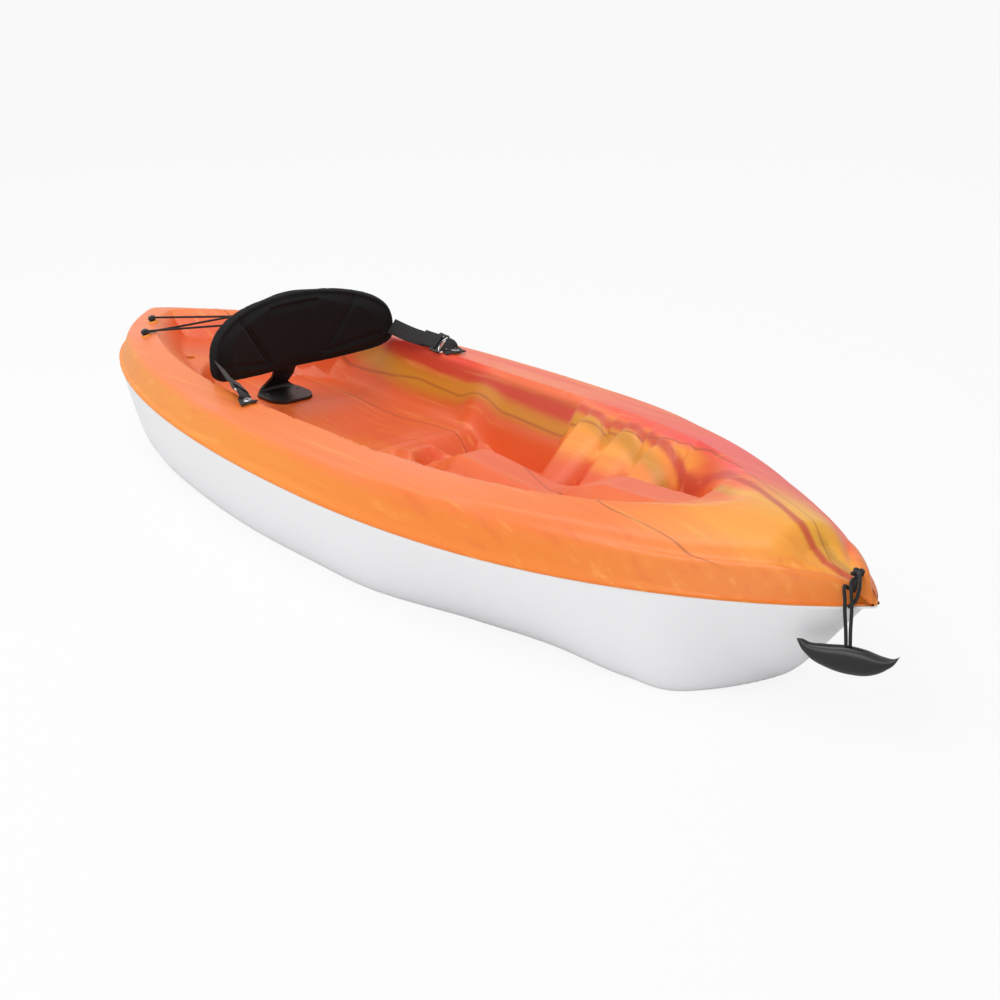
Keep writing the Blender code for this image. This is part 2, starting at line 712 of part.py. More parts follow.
# Drain plug with its seal, in a boss on the port side of the stern
plug_y = float(outline_half(np.array(PLUG_X)))
plug_slope = float(outline_half(np.array(PLUG_X + 0.002)) - plug_y) / 0.002
plug_axis = Vector((-plug_slope, 1.0, 0.0)).normalized()
plug_face = Vector((PLUG_X, plug_y, PLUG_HEIGHT)) + plug_axis * PLUG_BOSS_RISE
deck_bosses.append(rod(PLUG_BOSS_RADIUS, -PLUG_BOSS_DEPTH, 0, 20, plug_face, plug_axis))
deck_bores.append(rod(PLUG_RADIUS + GAP, -BORE_REACH, BORE_REACH, 20, plug_face, plug_axis))
head_low = SEAL_THICKNESS + 2 * GAP
plug = piece("drain_plug", *turned([(0, -PLUG_LENGTH), (PLUG_RADIUS, -PLUG_LENGTH), (PLUG_RADIUS, head_low),
                                    (PLUG_HEAD_RADIUS, head_low), (PLUG_HEAD_RADIUS, head_low + PLUG_HEAD * 0.7),
                                    (PLUG_HEAD_RADIUS * 0.85, head_low + PLUG_HEAD), (0, head_low + PLUG_HEAD)],
                                   20, plug_face, plug_axis), BLACK, 0.5)
seal_inner = PLUG_RADIUS + GAP
seal_outer = PLUG_HEAD_RADIUS - SEAL_INSET
seal = piece("drain_plug_seal", *turned([(seal_inner, GAP), (seal_outer, GAP), (seal_outer, GAP + SEAL_THICKNESS),
                                         (seal_inner, GAP + SEAL_THICKNESS)],
                                        20, plug_face, plug_axis, ring=True), "#2A2A2C", 0.8)
axis_point("drain_plug_axis", plug_face, (plug, seal))


def back_frame(y):
    """The direction that the backrest's middle layer looks in, across the kayak at y."""
    lean = math.radians(BACK_LEAN)
    turn = 2 * BACK_WRAP * y / BACK_HALF ** 2
    return Vector((math.cos(lean), -turn * math.cos(lean), math.sin(lean))).normalized()


def back_place(y, s, offset):
    """A point of the backrest: s up its middle layer, offset forward of it."""
    lean = math.radians(BACK_LEAN)
    x = BACK_X + BACK_WRAP * (y / BACK_HALF) ** 2 - math.sin(lean) * s
    return Vector((x, y, BACK_HEIGHT + math.cos(lean) * s)) + back_frame(y) * offset


def back_edge(y, rise, curve):
    """How far the backrest's upper or lower edge lies from the level of its ends."""
    return rise * (1 - min(abs(y) / BACK_HALF, 1.0) ** curve) ** (1 / BACK_CORNER)


def channel_distance(y, s, start, end):
    """Distance from a point of the pad to the sewn channel between two points."""
    along = Vector(end) - Vector(start)
    offset = Vector((abs(y), s)) - Vector(start)
    t = max(0.0, min(1.0, offset.dot(along) / along.length_squared))
    return (offset - along * t).length


def pad_point(i, j, back):
    """A grid point of the pad's front or back face."""
    y = BACK_HALF * math.sin(math.pi / 2 * (2 * i / PAD_COLUMNS - 1))
    v = math.sin(math.pi / 2 * (2 * j / PAD_ROWS - 1))
    low = BACK_END - back_edge(y, BACK_LOW, BACK_LOW_CURVE)
    high = BACK_END + back_edge(y, BACK_TOP, BACK_TOP_CURVE)
    s = low + (high - low) * (v + 1) / 2
    share = abs(y) / BACK_HALF
    full = PAD_HALF_THICKNESS * math.sqrt(max(0.0, 1 - v ** 4)) * math.sqrt(max(0.0, 1 - share ** 8))
    if back:
        return back_place(y, s, -full)
    groove = 0.0
    for end in (CHANNEL_TOP, CHANNEL_OUT):
        groove += math.exp(-(channel_distance(y, s, CHANNEL_LOW, end) / CHANNEL_WIDTH) ** 2)
    return back_place(y, s, full * (1 - CHANNEL_DEPTH / PAD_HALF_THICKNESS * min(groove, 1.0)))


def pad_solid():
    """The pad: two crowned faces that meet at its outline and at its two ends."""
    index = {}
    points = []
    faces = []
    for back in (False, True):
        for i in range(PAD_COLUMNS):
            for j in range(PAD_ROWS):
                loop = []
                for m, n in ((i, j), (i + 1, j), (i + 1, j + 1), (i, j + 1)):
                    key = (m, n, back and 0 < n < PAD_ROWS)
                    if m in (0, PAD_COLUMNS):
                        key = (m, 0, False)
                    if key not in index:
                        index[key] = len(points)
                        points.append(pad_point(m, n, key[2]))
                    if index[key] not in loop:
                        loop.append(index[key])
                faces.append(loop[:3])
                if len(loop) == 4:
                    faces.append([loop[0], loop[2], loop[3]])
    return points, faces


def panel_solid():
    """The stiff panel: follows the pad's back face, inside its outline."""
    columns = range(PANEL_MARGIN_COLUMNS, PAD_COLUMNS - PANEL_MARGIN_COLUMNS + 1)
    rows = range(PANEL_MARGIN_ROWS, PAD_ROWS - PANEL_MARGIN_ROWS + 1)
    near = [[pad_point(i, j, True) - back_frame(pad_point(i, j, True).y) * GAP for j in rows] for i in columns]
    far = [[p - back_frame(p.y) * PANEL_THICKNESS for p in line] for line in near]
    return slab(near, far)


# Backrest pad, and the stiff panel behind it
pad_points, pad_faces = pad_solid()
pad = piece("backrest_pad", pad_points, pad_faces, BLACK, 0.9)
panel = piece("backrest_panel", *panel_solid(), "#1B1B1C", 0.6)

# Tongue: a moulded plate whose foot is screwed to the seat floor and whose blade carries
# the panel. The plate is thin where the two meet, and that line is the back's hinge.
seat_floor = float(deck_height(np.array(HINGE_X), np.array(0.0)))
foot_middle = seat_floor + FOOT_PAD_RISE + GAP + TONGUE_THICKNESS / 2
hinge = Vector((HINGE_X, 0, seat_floor + HINGE_RISE))
neck_angle = math.radians(TONGUE_NECK_ANGLE)
bend_top = foot_middle + TONGUE_BEND * (1 + math.cos(neck_angle))
neck_length = (hinge.z - bend_top) / math.sin(neck_angle)
bend_x = HINGE_X - neck_length * math.cos(neck_angle) + TONGUE_BEND * math.sin(neck_angle)
neck_gap = TONGUE_THICKNESS / 2 + RUNNING_GAP
foot_path = []
foot_widths = []
foot_faces = []
for share, width in ((0.0, 0.50), (0.08, 0.74), (0.25, 0.90), (0.45, 1.0), (1.0, 1.0)):
    foot_path.append(Vector((TONGUE_FRONT_X + (bend_x - TONGUE_FRONT_X) * share, 0, foot_middle)))
    foot_widths.append(2 * TONGUE_FOOT_HALF * width)
    foot_faces.append((0, 0, 1))
for k in range(1, 6):
    angle = (math.pi - neck_angle) * k / 5
    foot_path.append(Vector((bend_x - TONGUE_BEND * math.sin(angle), 0,
                             foot_middle + TONGUE_BEND * (1 - math.cos(angle)))))
    foot_widths.append(2 * (TONGUE_FOOT_HALF + (TONGUE_NECK_HALF * 1.1 - TONGUE_FOOT_HALF) * k / 5))
    foot_faces.append((math.sin(angle), 0, math.cos(angle)))
foot_path.append(hinge - Vector((math.cos(neck_angle), 0, math.sin(neck_angle))) * neck_gap)
foot_widths.append(2 * TONGUE_NECK_HALF)
foot_faces.append(foot_faces[-1])
foot = piece("backrest_tongue_foot", *band(foot_path, foot_widths, TONGUE_THICKNESS, foot_faces), BLACK, 0.5)
foot_bores = []
for side, word in ((-1, "starboard"), (1, "port")):
    seat = Vector((TONGUE_SCREW_X, side * TONGUE_SCREW_HALF, foot_middle + TONGUE_THICKNESS / 2 + GAP))
    screw("tongue_screw_" + word, seat, (0, 0, 1), SCREW_LENGTH)
    foot_bores.append(screw_bore(seat, (0, 0, 1)))
boolean(foot, cutter("tongue_foot_bores", foot_bores), "DIFFERENCE")
deck_bores += foot_bores
pad_front = TONGUE_FRONT_X + FOOT_PAD_RISE
pad_aft = bend_x - TONGUE_BEND
foot_pad = []
for z, y in ((seat_floor - FOOT_PAD_DEPTH, TONGUE_FOOT_HALF), (seat_floor + FOOT_PAD_RISE, TONGUE_FOOT_HALF)):
    foot_pad.append([Vector((pad_aft, -y, z)), Vector((pad_front - 0.02, -y, z)), Vector((pad_front, -y * 0.5, z)),
                     Vector((pad_front, y * 0.5, z)), Vector((pad_front - 0.02, y, z)), Vector((pad_aft, y, z))])
deck_bosses.append(lofted(foot_pad))

# The blade's round lower end turns in line with the top of the foot's neck
blade_offset = -(PAD_HALF_THICKNESS + 2 * GAP + PANEL_THICKNESS + TONGUE_THICKNESS / 2)
blade_start = back_place(0, BLADE_START, blade_offset)
blade_end = back_place(0, BLADE_START + BLADE_LENGTH, blade_offset)
lower = (blade_start - hinge).normalized()
upper = (blade_end - blade_start).normalized()
out_lower = Vector((lower.z, 0, -lower.x)) * (TONGUE_THICKNESS / 2)
out_upper = Vector((upper.z, 0, -upper.x)) * (TONGUE_THICKNESS / 2)
out_middle = (out_lower + out_upper).normalized() * (TONGUE_THICKNESS / 2)
outline = [blade_end + out_upper, blade_start + out_middle]
for k in range(9):
    angle = math.pi * k / 8
    outline.append(hinge + out_lower * math.cos(angle) - lower * (TONGUE_THICKNESS / 2) * math.sin(angle))
outline += [blade_start - out_middle, blade_end - out_upper]
blade = piece("backrest_tongue_blade", *lofted([[p + Vector((0, y, 0)) for p in outline]
                                                for y in (-TONGUE_NECK_HALF, TONGUE_NECK_HALF)]), BLACK, 0.5)
axis_point("backrest_axis", hinge, (pad, panel, blade))

# Straps: from each end of the pad through a buckle to a webbing tab screwed to the rim
pad_reach = max(p.x for p in pad_points)
for side, word in ((-1, "starboard"), (1, "port")):
    seat, up = on_deck(ANCHOR_X, side * ANCHOR_Y)
    root = Vector((pad_reach + STRAP_THICKNESS, side * STRAP_ROOT_Y, back_place(0, BACK_END, 0).z + STRAP_ROOT_RISE))
    flat_way = root - seat
    flat_way = (flat_way - up * flat_way.dot(up)).normalized()
    bar = seat + up * BAR_RISE + flat_way * BAR_REACH
    way = (root - bar).normalized()
    inboard = Vector((0, -side, 0))

    def facing(along, degrees):
        """The band's face, tilted inboard from upwards by the angle, square to its run."""
        tilt = math.radians(degrees)
        face = up * math.cos(tilt) + inboard * math.sin(tilt)
        return (face - along * face.dot(along)).normalized()

    deck_bosses.append(boss(seat, up))
    deck_bores.append(screw_bore(seat, up))
    tab_height = BOSS_RISE + GAP + TAB_THICKNESS / 2
    tab_path = [seat + up * tab_height - flat_way * TAB_BEYOND, seat + up * tab_height + flat_way * TAB_FLAT,
                bar - flat_way * (BAR_RADIUS + TAB_THICKNESS / 2 + GAP) - up * TAB_THICKNESS / 2]
    tab = piece("strap_tab_" + word, *band(tab_path, [STRAP_WIDTH * 0.8, STRAP_WIDTH, STRAP_WIDTH], TAB_THICKNESS,
                                           [up, up, facing(flat_way, STRAP_TILT_LOW)]), "#1A1A1B", 0.9)
    boolean(tab, cutter("strap_tab_bore_" + word, [screw_bore(seat, up)]), "DIFFERENCE")
    plate_low = tab_height + TAB_THICKNESS / 2 + GAP
    piece("anchor_plate_" + word, *turned([(SCREW_RADIUS + GAP, plate_low), (ANCHOR_PLATE_RADIUS, plate_low),
                                           (ANCHOR_PLATE_RADIUS, plate_low + ANCHOR_PLATE),
                                           (SCREW_RADIUS + GAP, plate_low + ANCHOR_PLATE)],
                                          16, seat, up, ring=True), "#B9BCC0", 0.3, 1.0)
    screw("anchor_screw_" + word, seat + up * (plate_low + ANCHOR_PLATE + GAP), up, SCREW_LENGTH)
    low_face = facing(way, STRAP_TILT_LOW)
    high_face = facing(way, STRAP_TILT)
    bar_way = low_face.cross(way)
    piece("strap_bar_" + word, *rod(BAR_RADIUS, -BAR_LENGTH / 2, BAR_LENGTH / 2, 12, bar, bar_way),
          "#B9BCC0", 0.25, 1.0)
    buckle_low = bar + way * (BAR_RADIUS + GAP)
    buckle_high = buckle_low + way * BUCKLE_LENGTH
    buckle_path = [buckle_low, buckle_low + way * 0.004, buckle_high - way * 0.004, buckle_high]
    buckle = piece("strap_buckle_" + word, *band(buckle_path, [BUCKLE_WIDTH * w for w in (0.86, 1.0, 1.0, 0.86)],
                                                 BUCKLE_THICKNESS, [low_face] * 4), BLACK, 0.45)
    slots = []
    for share in (0.3, 0.7):
        middle = buckle_low + way * BUCKLE_LENGTH * share
        slots.append(band([middle - way * BUCKLE_SLOT / 2, middle + way * BUCKLE_SLOT / 2], [STRAP_WIDTH] * 2,
                          BUCKLE_THICKNESS * 2, [low_face] * 2))
    boolean(buckle, cutter("strap_buckle_slots_" + word, slots), "DIFFERENCE")
    strap_low = buckle_high + way * GAP
    strap_path = [strap_low + (root - strap_low) * t for t in (0.0, 0.25, 0.5, 0.75, 1.0)]
    strap_faces = [low_face.lerp(high_face, t) for t in (0.0, 0.25, 0.5, 0.75, 1.0)]
    piece("strap_" + word, *band(strap_path, [STRAP_WIDTH] * 5, STRAP_THICKNESS, strap_faces), "#1A1A1B", 0.9)

# Buttons for the elastic cord, each screwed to a boss on the rim
button_places = []
for number, (button_x, button_y) in enumerate(BUTTONS, 1):
    seat, up = on_deck(button_x, button_y)
    button_places.append((seat, up))
    deck_bosses.append(boss(seat, up))
    deck_bores.append(screw_bore(seat, up))
    foot_top = BUTTON_CORD_HEIGHT - BUNGEE_RADIUS - 0.001
    cap_low = BUTTON_CORD_HEIGHT + BUNGEE_RADIUS + 0.001
    bore_radius = SCREW_RADIUS + GAP
    profile = [(bore_radius, GAP), (BUTTON_FOOT_RADIUS, GAP), (BUTTON_NECK, foot_top), (BUTTON_NECK, cap_low),
               (BUTTON_RADIUS, cap_low + 0.0015), (BUTTON_RADIUS, BUTTON_HEIGHT - 0.002),
               (BUTTON_RADIUS * 0.7, BUTTON_HEIGHT), (bore_radius, BUTTON_HEIGHT)]
    piece("bungee_button_%d" % number, *turned(profile, 10, seat + up * BOSS_RISE, up, ring=True), BLACK, 0.5)
    screw("bungee_screw_%d" % number, seat + up * (BOSS_RISE + BUTTON_HEIGHT + GAP), up,
          BUTTON_HEIGHT + SCREW_LENGTH / 2)


def around_button(number, start, turn):
    """The cord's path round a button's neck, clockwise seen from above."""
    seat, up = button_places[number - 1]
    reach = BUTTON_NECK + BUNGEE_RADIUS + GAP
    side_x = Vector((1, 0, 0)) - up * up.x
    side_x.normalize()
    side_y = up.cross(side_x)
    steps = max(2, round(turn / 32))
    path = []
    for k in range(steps + 1):
        angle = math.radians(start - turn * k / steps)
        path.append(seat + up * (BOSS_RISE + BUTTON_CORD_HEIGHT)
                    + (side_x * math.cos(angle) + side_y * math.sin(angle)) * reach)
    return path


def past(path, other, lift):
    """The path with a point wherever it passes the other one in plan, lifted off it there."""
    made = []
    for a, b in zip(path, path[1:]):
        made.append(a)
        found = []
        for c, d in zip(other, other[1:]):
            own_way = (b - a).xy
            other_way = (d - c).xy
            turn = own_way.cross(other_way)
            if abs(turn) < 1e-9:
                continue
            t = (c - a).xy.cross(other_way) / turn
            u = (c - a).xy.cross(own_way) / turn
            if 0 < t < 1 and 0 < u < 1:
                middle = (a + (b - a) * t + c + (d - c) * u) / 2
                found.append((t, middle + Vector((0, 0, lift))))
        made += [point for _, point in sorted(found, key=lambda entry: entry[0])]
    return made + [path[-1]]


# Elastic cord: each length is looped round its end buttons and bears on any between
bungee_paths = []
for route in (BUNGEE_REAR, BUNGEE_FRONT):
    headings = []
    for number, following in zip(route, route[1:]):
        way = button_places[following - 1][0] - button_places[number - 1][0]
        headings.append(math.degrees(math.atan2(way.y, way.x)))
    path = around_button(route[0], headings[0] + 90 + BUNGEE_END_WRAP, BUNGEE_END_WRAP)
    for number, before, after in zip(route[1:-1], headings, headings[1:]):
        path += around_button(number, before + 90, (before - after) % 360)
    path += around_button(route[-1], headings[-1] + 90, BUNGEE_END_WRAP)
    bungee_paths.append(path)
rear_path, front_path = bungee_paths
passing = BUNGEE_RADIUS + GAP
cord("bungee_cord_rear", past(rear_path, front_path, -passing), BUNGEE_RADIUS, "#161616")
cord("bungee_cord_front", past(front_path, rear_path, passing), BUNGEE_RADIUS, "#161616")

# Bow handle: a knot on the rope hole, a rope over the starboard edge and a grip on it
hole_seat, hole_up = on_deck(ROPE_HOLE_X, 0.0)
deck_bosses.append(rod(ROPE_BOSS_RADIUS, -BOSS_DEPTH, ROPE_BOSS_RISE, 16, hole_seat, hole_up))
deck_bores.append(rod(ROPE_HOLE_RADIUS, -BORE_REACH, BORE_REACH, 16, hole_seat, (0, 0, 1)))
hull_bores.append(rod(ROPE_HOLE_RADIUS, -BORE_REACH * 2, BORE_REACH, 16, hole_seat, (0, 0, 1)))
knot_low = ROPE_BOSS_RISE + GAP
knot_profile = [(0, knot_low)]
for share, height in ((0.72, 0.0), (0.95, 0.2), (1.0, 0.42), (0.94, 0.64), (0.72, 0.86), (0.4, 0.97)):
    knot_profile.append((KNOT_RADIUS * share, knot_low + KNOT_HEIGHT * height))
knot_profile.append((0, knot_low + KNOT_HEIGHT))
piece("bow_handle_knot", *turned(knot_profile, 14, hole_seat, hole_up), "#1C1C1D", 0.9)

edge_y = -float(outline_half(np.array(ROPE_EDGE_X)))
edge_ahead = -float(outline_half(np.array(ROPE_EDGE_X + 0.01)))
edge_way = Vector((0.01, edge_ahead - edge_y, 0)).normalized()
outboard = Vector((edge_way.y, -edge_way.x, 0))
edge_top = float(deck_height(np.array(ROPE_EDGE_X), np.array(-edge_y)))
edge_point = Vector((ROPE_EDGE_X, edge_y, edge_top))
from_knot = edge_point - hole_seat
from_knot.z = 0
from_knot.normalize()
drop_top = edge_point + outboard * ROPE_EDGE_OFFSET - Vector((0, 0, ROPE_RADIUS))
grip_top = Vector((drop_top.x, drop_top.y, GRIP_TOP))
start = hole_seat + from_knot * (KNOT_RADIUS + ROPE_RADIUS * 2)
strands = []
for side in (-1, 1):
    aside = edge_way * (side * ROPE_SPREAD / 2)
    strand = []
    for share in (0.0, 0.4, 0.8):
        spot = start + (edge_point - start) * share + aside
        seat, up = on_deck(spot.x, spot.y)
        strand.append(seat + up * (ROPE_RADIUS + ROPE_CLEARANCE))
    strand.append(edge_point + outboard * (ROPE_EDGE_OFFSET * 0.7) + Vector((0, 0, ROPE_RADIUS)) + aside)
    strand.append(drop_top + aside)
    strand.append(drop_top + aside - Vector((0, 0, ROPE_RADIUS * 6)))
    strand.append(grip_top + aside + Vector((0, 0, GAP)))
    strands.append(strand)
turn_middle = (strands[0][0] + strands[1][0]) / 2
turn_half = (strands[1][0] - strands[0][0]) / 2
turn_in = (turn_middle - (strands[0][1] + strands[1][1]) / 2).normalized() * turn_half.length
rope_path = strands[0][::-1]
for k in range(1, 6):
    angle = math.pi * k / 6
    rope_path.append(turn_middle - turn_half * math.cos(angle) + turn_in * math.sin(angle))
rope_path += strands[1]
rope = cord("bow_handle_rope", rope_path, ROPE_RADIUS, "#1C1C1D")

heading = math.radians(GRIP_HEADING)
grip_way = Vector((math.cos(heading), math.sin(heading), 0))
grip_side = Vector((-grip_way.y, grip_way.x, 0))
grip_rings = []
for k in range(15):
    u = -math.cos(math.pi * k / 14)
    full = math.sqrt(max(0.0, 1 - abs(u) ** 2.4))
    tall = GRIP_END_RADIUS + (GRIP_HEIGHT - GRIP_END_RADIUS) * full
    wide = GRIP_END_RADIUS + (GRIP_THICKNESS - GRIP_END_RADIUS) * min(1.0, full * 1.2)
    middle = grip_top + grip_way * (u * GRIP_LENGTH / 2) - Vector((0, 0, GRIP_END_DROP * u * u + tall / 2))
    ring = []
    for m in range(14):
        angle = 2 * math.pi * m / 14
        across = math.copysign(abs(math.cos(angle)) ** 0.75, math.cos(angle))
        upward = math.copysign(abs(math.sin(angle)) ** 0.75, math.sin(angle))
        ring.append(middle + grip_side * (across * wide / 2) + Vector((0, 0, upward * tall / 2)))
    grip_rings.append(ring)
grip = piece("bow_handle_grip", *lofted(grip_rings), BLACK, 0.6)
axis_point("bow_handle_axis", drop_top, (grip, rope))

# Bosses are part of the deck's moulding; screw holes, scuppers and the rope hole are cut
boolean(deck, cutter("deck_boss_solids", deck_bosses), "UNION")
boolean(deck, cutter("deck_bore_solids", deck_bores), "DIFFERENCE")
boolean(hull, cutter("hull_bore_solids", hull_bores), "DIFFERENCE")
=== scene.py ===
"""The finished look of a sit-on-top kayak, 2.44 m long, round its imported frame.

+X is the bow, +Y is port, +Z is up, and the hull stands on the floor at z = 0."""

import math

import bmesh
import bpy
import numpy as np
from mathutils import Matrix, Vector
from mathutils.bvhtree import BVHTree


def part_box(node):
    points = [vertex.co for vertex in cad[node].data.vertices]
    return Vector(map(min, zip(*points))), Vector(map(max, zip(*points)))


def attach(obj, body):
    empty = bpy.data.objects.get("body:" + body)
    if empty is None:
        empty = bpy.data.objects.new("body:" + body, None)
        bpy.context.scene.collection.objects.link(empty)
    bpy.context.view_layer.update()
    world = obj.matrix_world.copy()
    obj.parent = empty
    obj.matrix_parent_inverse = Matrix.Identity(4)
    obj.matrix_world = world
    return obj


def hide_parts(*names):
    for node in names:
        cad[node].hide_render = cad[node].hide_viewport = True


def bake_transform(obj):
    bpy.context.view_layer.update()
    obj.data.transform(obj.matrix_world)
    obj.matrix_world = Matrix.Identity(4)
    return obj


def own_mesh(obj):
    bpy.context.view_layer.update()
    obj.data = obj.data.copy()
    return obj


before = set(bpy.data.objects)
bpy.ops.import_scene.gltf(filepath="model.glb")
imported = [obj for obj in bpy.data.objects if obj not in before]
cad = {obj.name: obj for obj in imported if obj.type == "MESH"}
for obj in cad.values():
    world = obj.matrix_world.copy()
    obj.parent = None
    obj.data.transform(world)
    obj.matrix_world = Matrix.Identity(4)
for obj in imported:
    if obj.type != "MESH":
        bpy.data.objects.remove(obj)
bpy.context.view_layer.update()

# Camera: a long lens from the starboard bow quarter, a little above the gunwale,
# looking down on the cockpit.
FRAME_PIXELS, FOCAL_PIXELS, SENSOR = 1000, 2294.9, 36.0
CAMERA_YAW, CAMERA_PITCH, CAMERA_ROLL = (math.radians(d) for d in (55.152, 19.583, -2.865))
CAMERA_DISTANCE, FARTHEST_SEEN = 4.5424, 200.0
LOOKED_AT, LOOKED_AT_PIXEL = Vector((0, 0, 0.2)), (437.525, 437.955)

forward = Vector((-math.sin(CAMERA_YAW) * math.cos(CAMERA_PITCH),
                  math.cos(CAMERA_YAW) * math.cos(CAMERA_PITCH), -math.sin(CAMERA_PITCH)))
level = forward.cross(Vector((0, 0, 1))).normalized()
right = level * math.cos(CAMERA_ROLL) + level.cross(forward) * math.sin(CAMERA_ROLL)
above = right.cross(forward)
aside = (LOOKED_AT_PIXEL[0] - FRAME_PIXELS / 2) / FOCAL_PIXELS
upward = (FRAME_PIXELS / 2 - LOOKED_AT_PIXEL[1]) / FOCAL_PIXELS
eye = LOOKED_AT - (forward + right * aside + above * upward) * CAMERA_DISTANCE
lens = bpy.data.cameras.new("camera")
lens.sensor_width, lens.lens = SENSOR, FOCAL_PIXELS * SENSOR / FRAME_PIXELS
lens.clip_end = FARTHEST_SEEN
camera = bpy.data.objects.new("camera", lens)
camera.matrix_world = Matrix.Translation(eye) @ Matrix((right, above, -forward)).transposed().to_4x4()
bpy.context.scene.collection.objects.link(camera)
bpy.context.scene.camera = camera

# Deck sheet: one sheet of polyethylene, thermoformed over a mould into the cockpit, console,
# foot blocks, leg wells and tank well. Its colours are streaks that run along the extruded
# sheet, with painted shade and a painted highlight laid over them in the cockpit. It is welded
# to the hull sheet along the gunwale.
LENGTH, BEAM, WIDEST_X = 2.44, 0.735, 0.057
HALF_LENGTH = LENGTH / 2
STERN_CURVE, BOW_CURVE = (2.14, 1.713), (2.056, 1.238)
STERN_TIP_HALF, BOW_TIP_HALF, OUTLINE_STEEPEST = 0.010, 0.004, 4.0
SHEET, SHEET_STEEPEST, FLANGE, GAP = 0.0045, 4.0, 0.004, 0.0003
SEAM_HEIGHT, SEAM_BOW_RISE, SEAM_RISE_X = 0.187, 0.026, 0.434
RIM_HEIGHT, RIM_AFT_X, RIM_STERN_SLOPE, RIM_BOW_SLOPE, RIM_BOW_CURVE = 0.266, -1.15, 0.012, 0.013, 0.036
DECK_LEAST_RISE, GUNWALE_SLOPE, GUNWALE_ROUND, GUNWALE_LEDGE = 0.012, 2.6, 0.014, 0.006
BOW_DROP, BOW_DROP_X, STERN_DROP, STERN_DROP_X = 0.034, 0.93, 0.015, 1.08
NOSE_SLOPE, NOSE_RUN = 3.6, (1.06, 1.17)
CROWN, CROWN_BOW, CROWN_RUN, CROWN_LEAST_HALF = 0.030, 0.045, (0.45, 1.0), 0.03
GROOVE_INSET, GROOVE_WIDTH, GROOVE_DEPTH = 0.038, 0.009, 0.010
GROOVE_START, GROOVE_END = (0.30, 0.60), (1.10, 1.18)
RECESS_HALF, RECESS_TIP_X, RECESS_BOW_X, RECESS_BOW_CURVE = 0.241, 0.953, 0.056, (2.714, 1.155)
RECESS_AFT_X, RECESS_STERN_X, RECESS_STERN_CURVE = -0.30, -1.105, (1.9, 1.55)
RECESS_WALL, RECESS_EASE, RECESS_STEEPEST = 0.056, 0.16, 6.0
PILLAR_X, PILLAR_HALF, PILLAR_WALL = -0.135, 0.085, 0.026
SEAT_HEIGHT, SEAT_HOLLOW, SEAT_HOLLOW_X, SEAT_HOLLOW_RUN, SEAT_HOLLOW_HALF = 0.155, 0.016, -0.34, 0.18, 0.16
SEAT_LIP, SEAT_LIP_RUN = 0.012, (0.14, 0.20)
TANK_HEIGHT, BULKHEAD_X, BULKHEAD_RUN, BULKHEAD_BOW = 0.200, -0.806, 0.045, 6.9
WELL_HEIGHT, WELL_HALF, WELL_AFT_X, WELL_AFT_RUN, WELL_NARROW_X = 0.105, 0.215, -0.090, 0.045, 0.30
WELL_BOW_X, WELL_CURVE, WELL_SHOULDER, WELL_WALL = 0.800, (2.6, 1.8), 0.028, 0.030
CONSOLE_LINE = ((-0.14, 0.155), (-0.06, 0.163), (0.03, 0.166), (0.13, 0.201), (0.36, 0.190),
                (0.59, 0.257), (0.78, 0.266), (0.953, 0.313))
CONSOLE_FLAT, CONSOLE_SLOPE, CONSOLE_ROUND = 0.030, 0.95, 0.012
LEDGE_LINE = ((-0.16, 0.167), (0.0, 0.172), (0.60, 0.182), (0.80, 0.280), (0.953, 0.308))
LEDGE_RUN = (-0.16, -0.04)
FOOT_BLOCKS = ((0.245, 0.247), (0.37, 0.252), (0.49, 0.257))
FOOT_BLOCK_HALF, FOOT_BLOCK_SLOPE, FOOT_BLOCK_TOP, FOOT_BLOCK_TOP_ROUND = 0.064, 0.80, 0.036, 0.02
FOOT_BLOCK_END, FOOT_BLOCK_END_TAPER, FOOT_BLOCK_FOOT, FOOT_BLOCK_MELT = 0.055, (0.8, 2.5), 0.02, 0.010
FOOT_BLOCK_BACK, FOOT_BLOCK_NOTCH = (3.0, 0.7), (0.018, 0.55, 0.004, 0.085)
CUP_X, CUP_RADIUS, CUP_DEPTH, CUP_WALL = -0.015, 0.052, 0.045, 0.036
BOW_RECESS_SHARE, BOW_RECESS_DEPTH, BOW_RECESS_EDGE = 0.66, 0.040, 1.15
BOW_RECESS_START, BOW_RECESS_END = (1.045, 1.110), (1.186, 1.208)
SCUPPERS, SCUPPER_BORE, SCUPPER_WALL = ((0.015, 0.128), (-0.88, 0.075)), 0.011, 0.003
ROPE_HOLE_X, ROPE_HOLE_RADIUS = 1.180, 0.0055
LOOK_ALONG = 0.001


def smooth(t):
    t = np.clip(t, 0.0, 1.0)
    return t * t * (3.0 - 2.0 * t)


def step(x, start, end):
    return smooth((x - start) / (end - start))


def soft_min(a, b, radius):
    mix = np.clip(0.5 + 0.5 * (b - a) / radius, 0.0, 1.0)
    return b * (1 - mix) + a * mix - radius * mix * (1 - mix)


def soft_max(a, b, radius):
    return -soft_min(-a, -b, radius)


def hump(x, middle, half):
    return np.cos(np.clip((x - middle) / half, -1, 1) * math.pi / 2) ** 2


def ramps(x, line):
    height = np.full(np.shape(x), float(line[0][1]))
    for (x0, z0), (x1, z1) in zip(line, line[1:]):
        height = height + (z1 - z0) * step(x, x0, x1)
    return height


def oval(t, curve):
    return np.clip(1 - np.clip(t, 0.0, 1.0) ** curve[0], 0.0, 1.0) ** (1 / curve[1])


def outline_half(x):
    """Half breadth of the kayak at the seam."""
    stern = oval((WIDEST_X - x) / (WIDEST_X + HALF_LENGTH), STERN_CURVE)
    bow = oval((x - WIDEST_X) / (HALF_LENGTH - WIDEST_X), BOW_CURVE)
    half = BEAM / 2 * np.where(x < WIDEST_X, stern, bow)
    return np.maximum(half, np.where(x < 0, STERN_TIP_HALF, BOW_TIP_HALF))


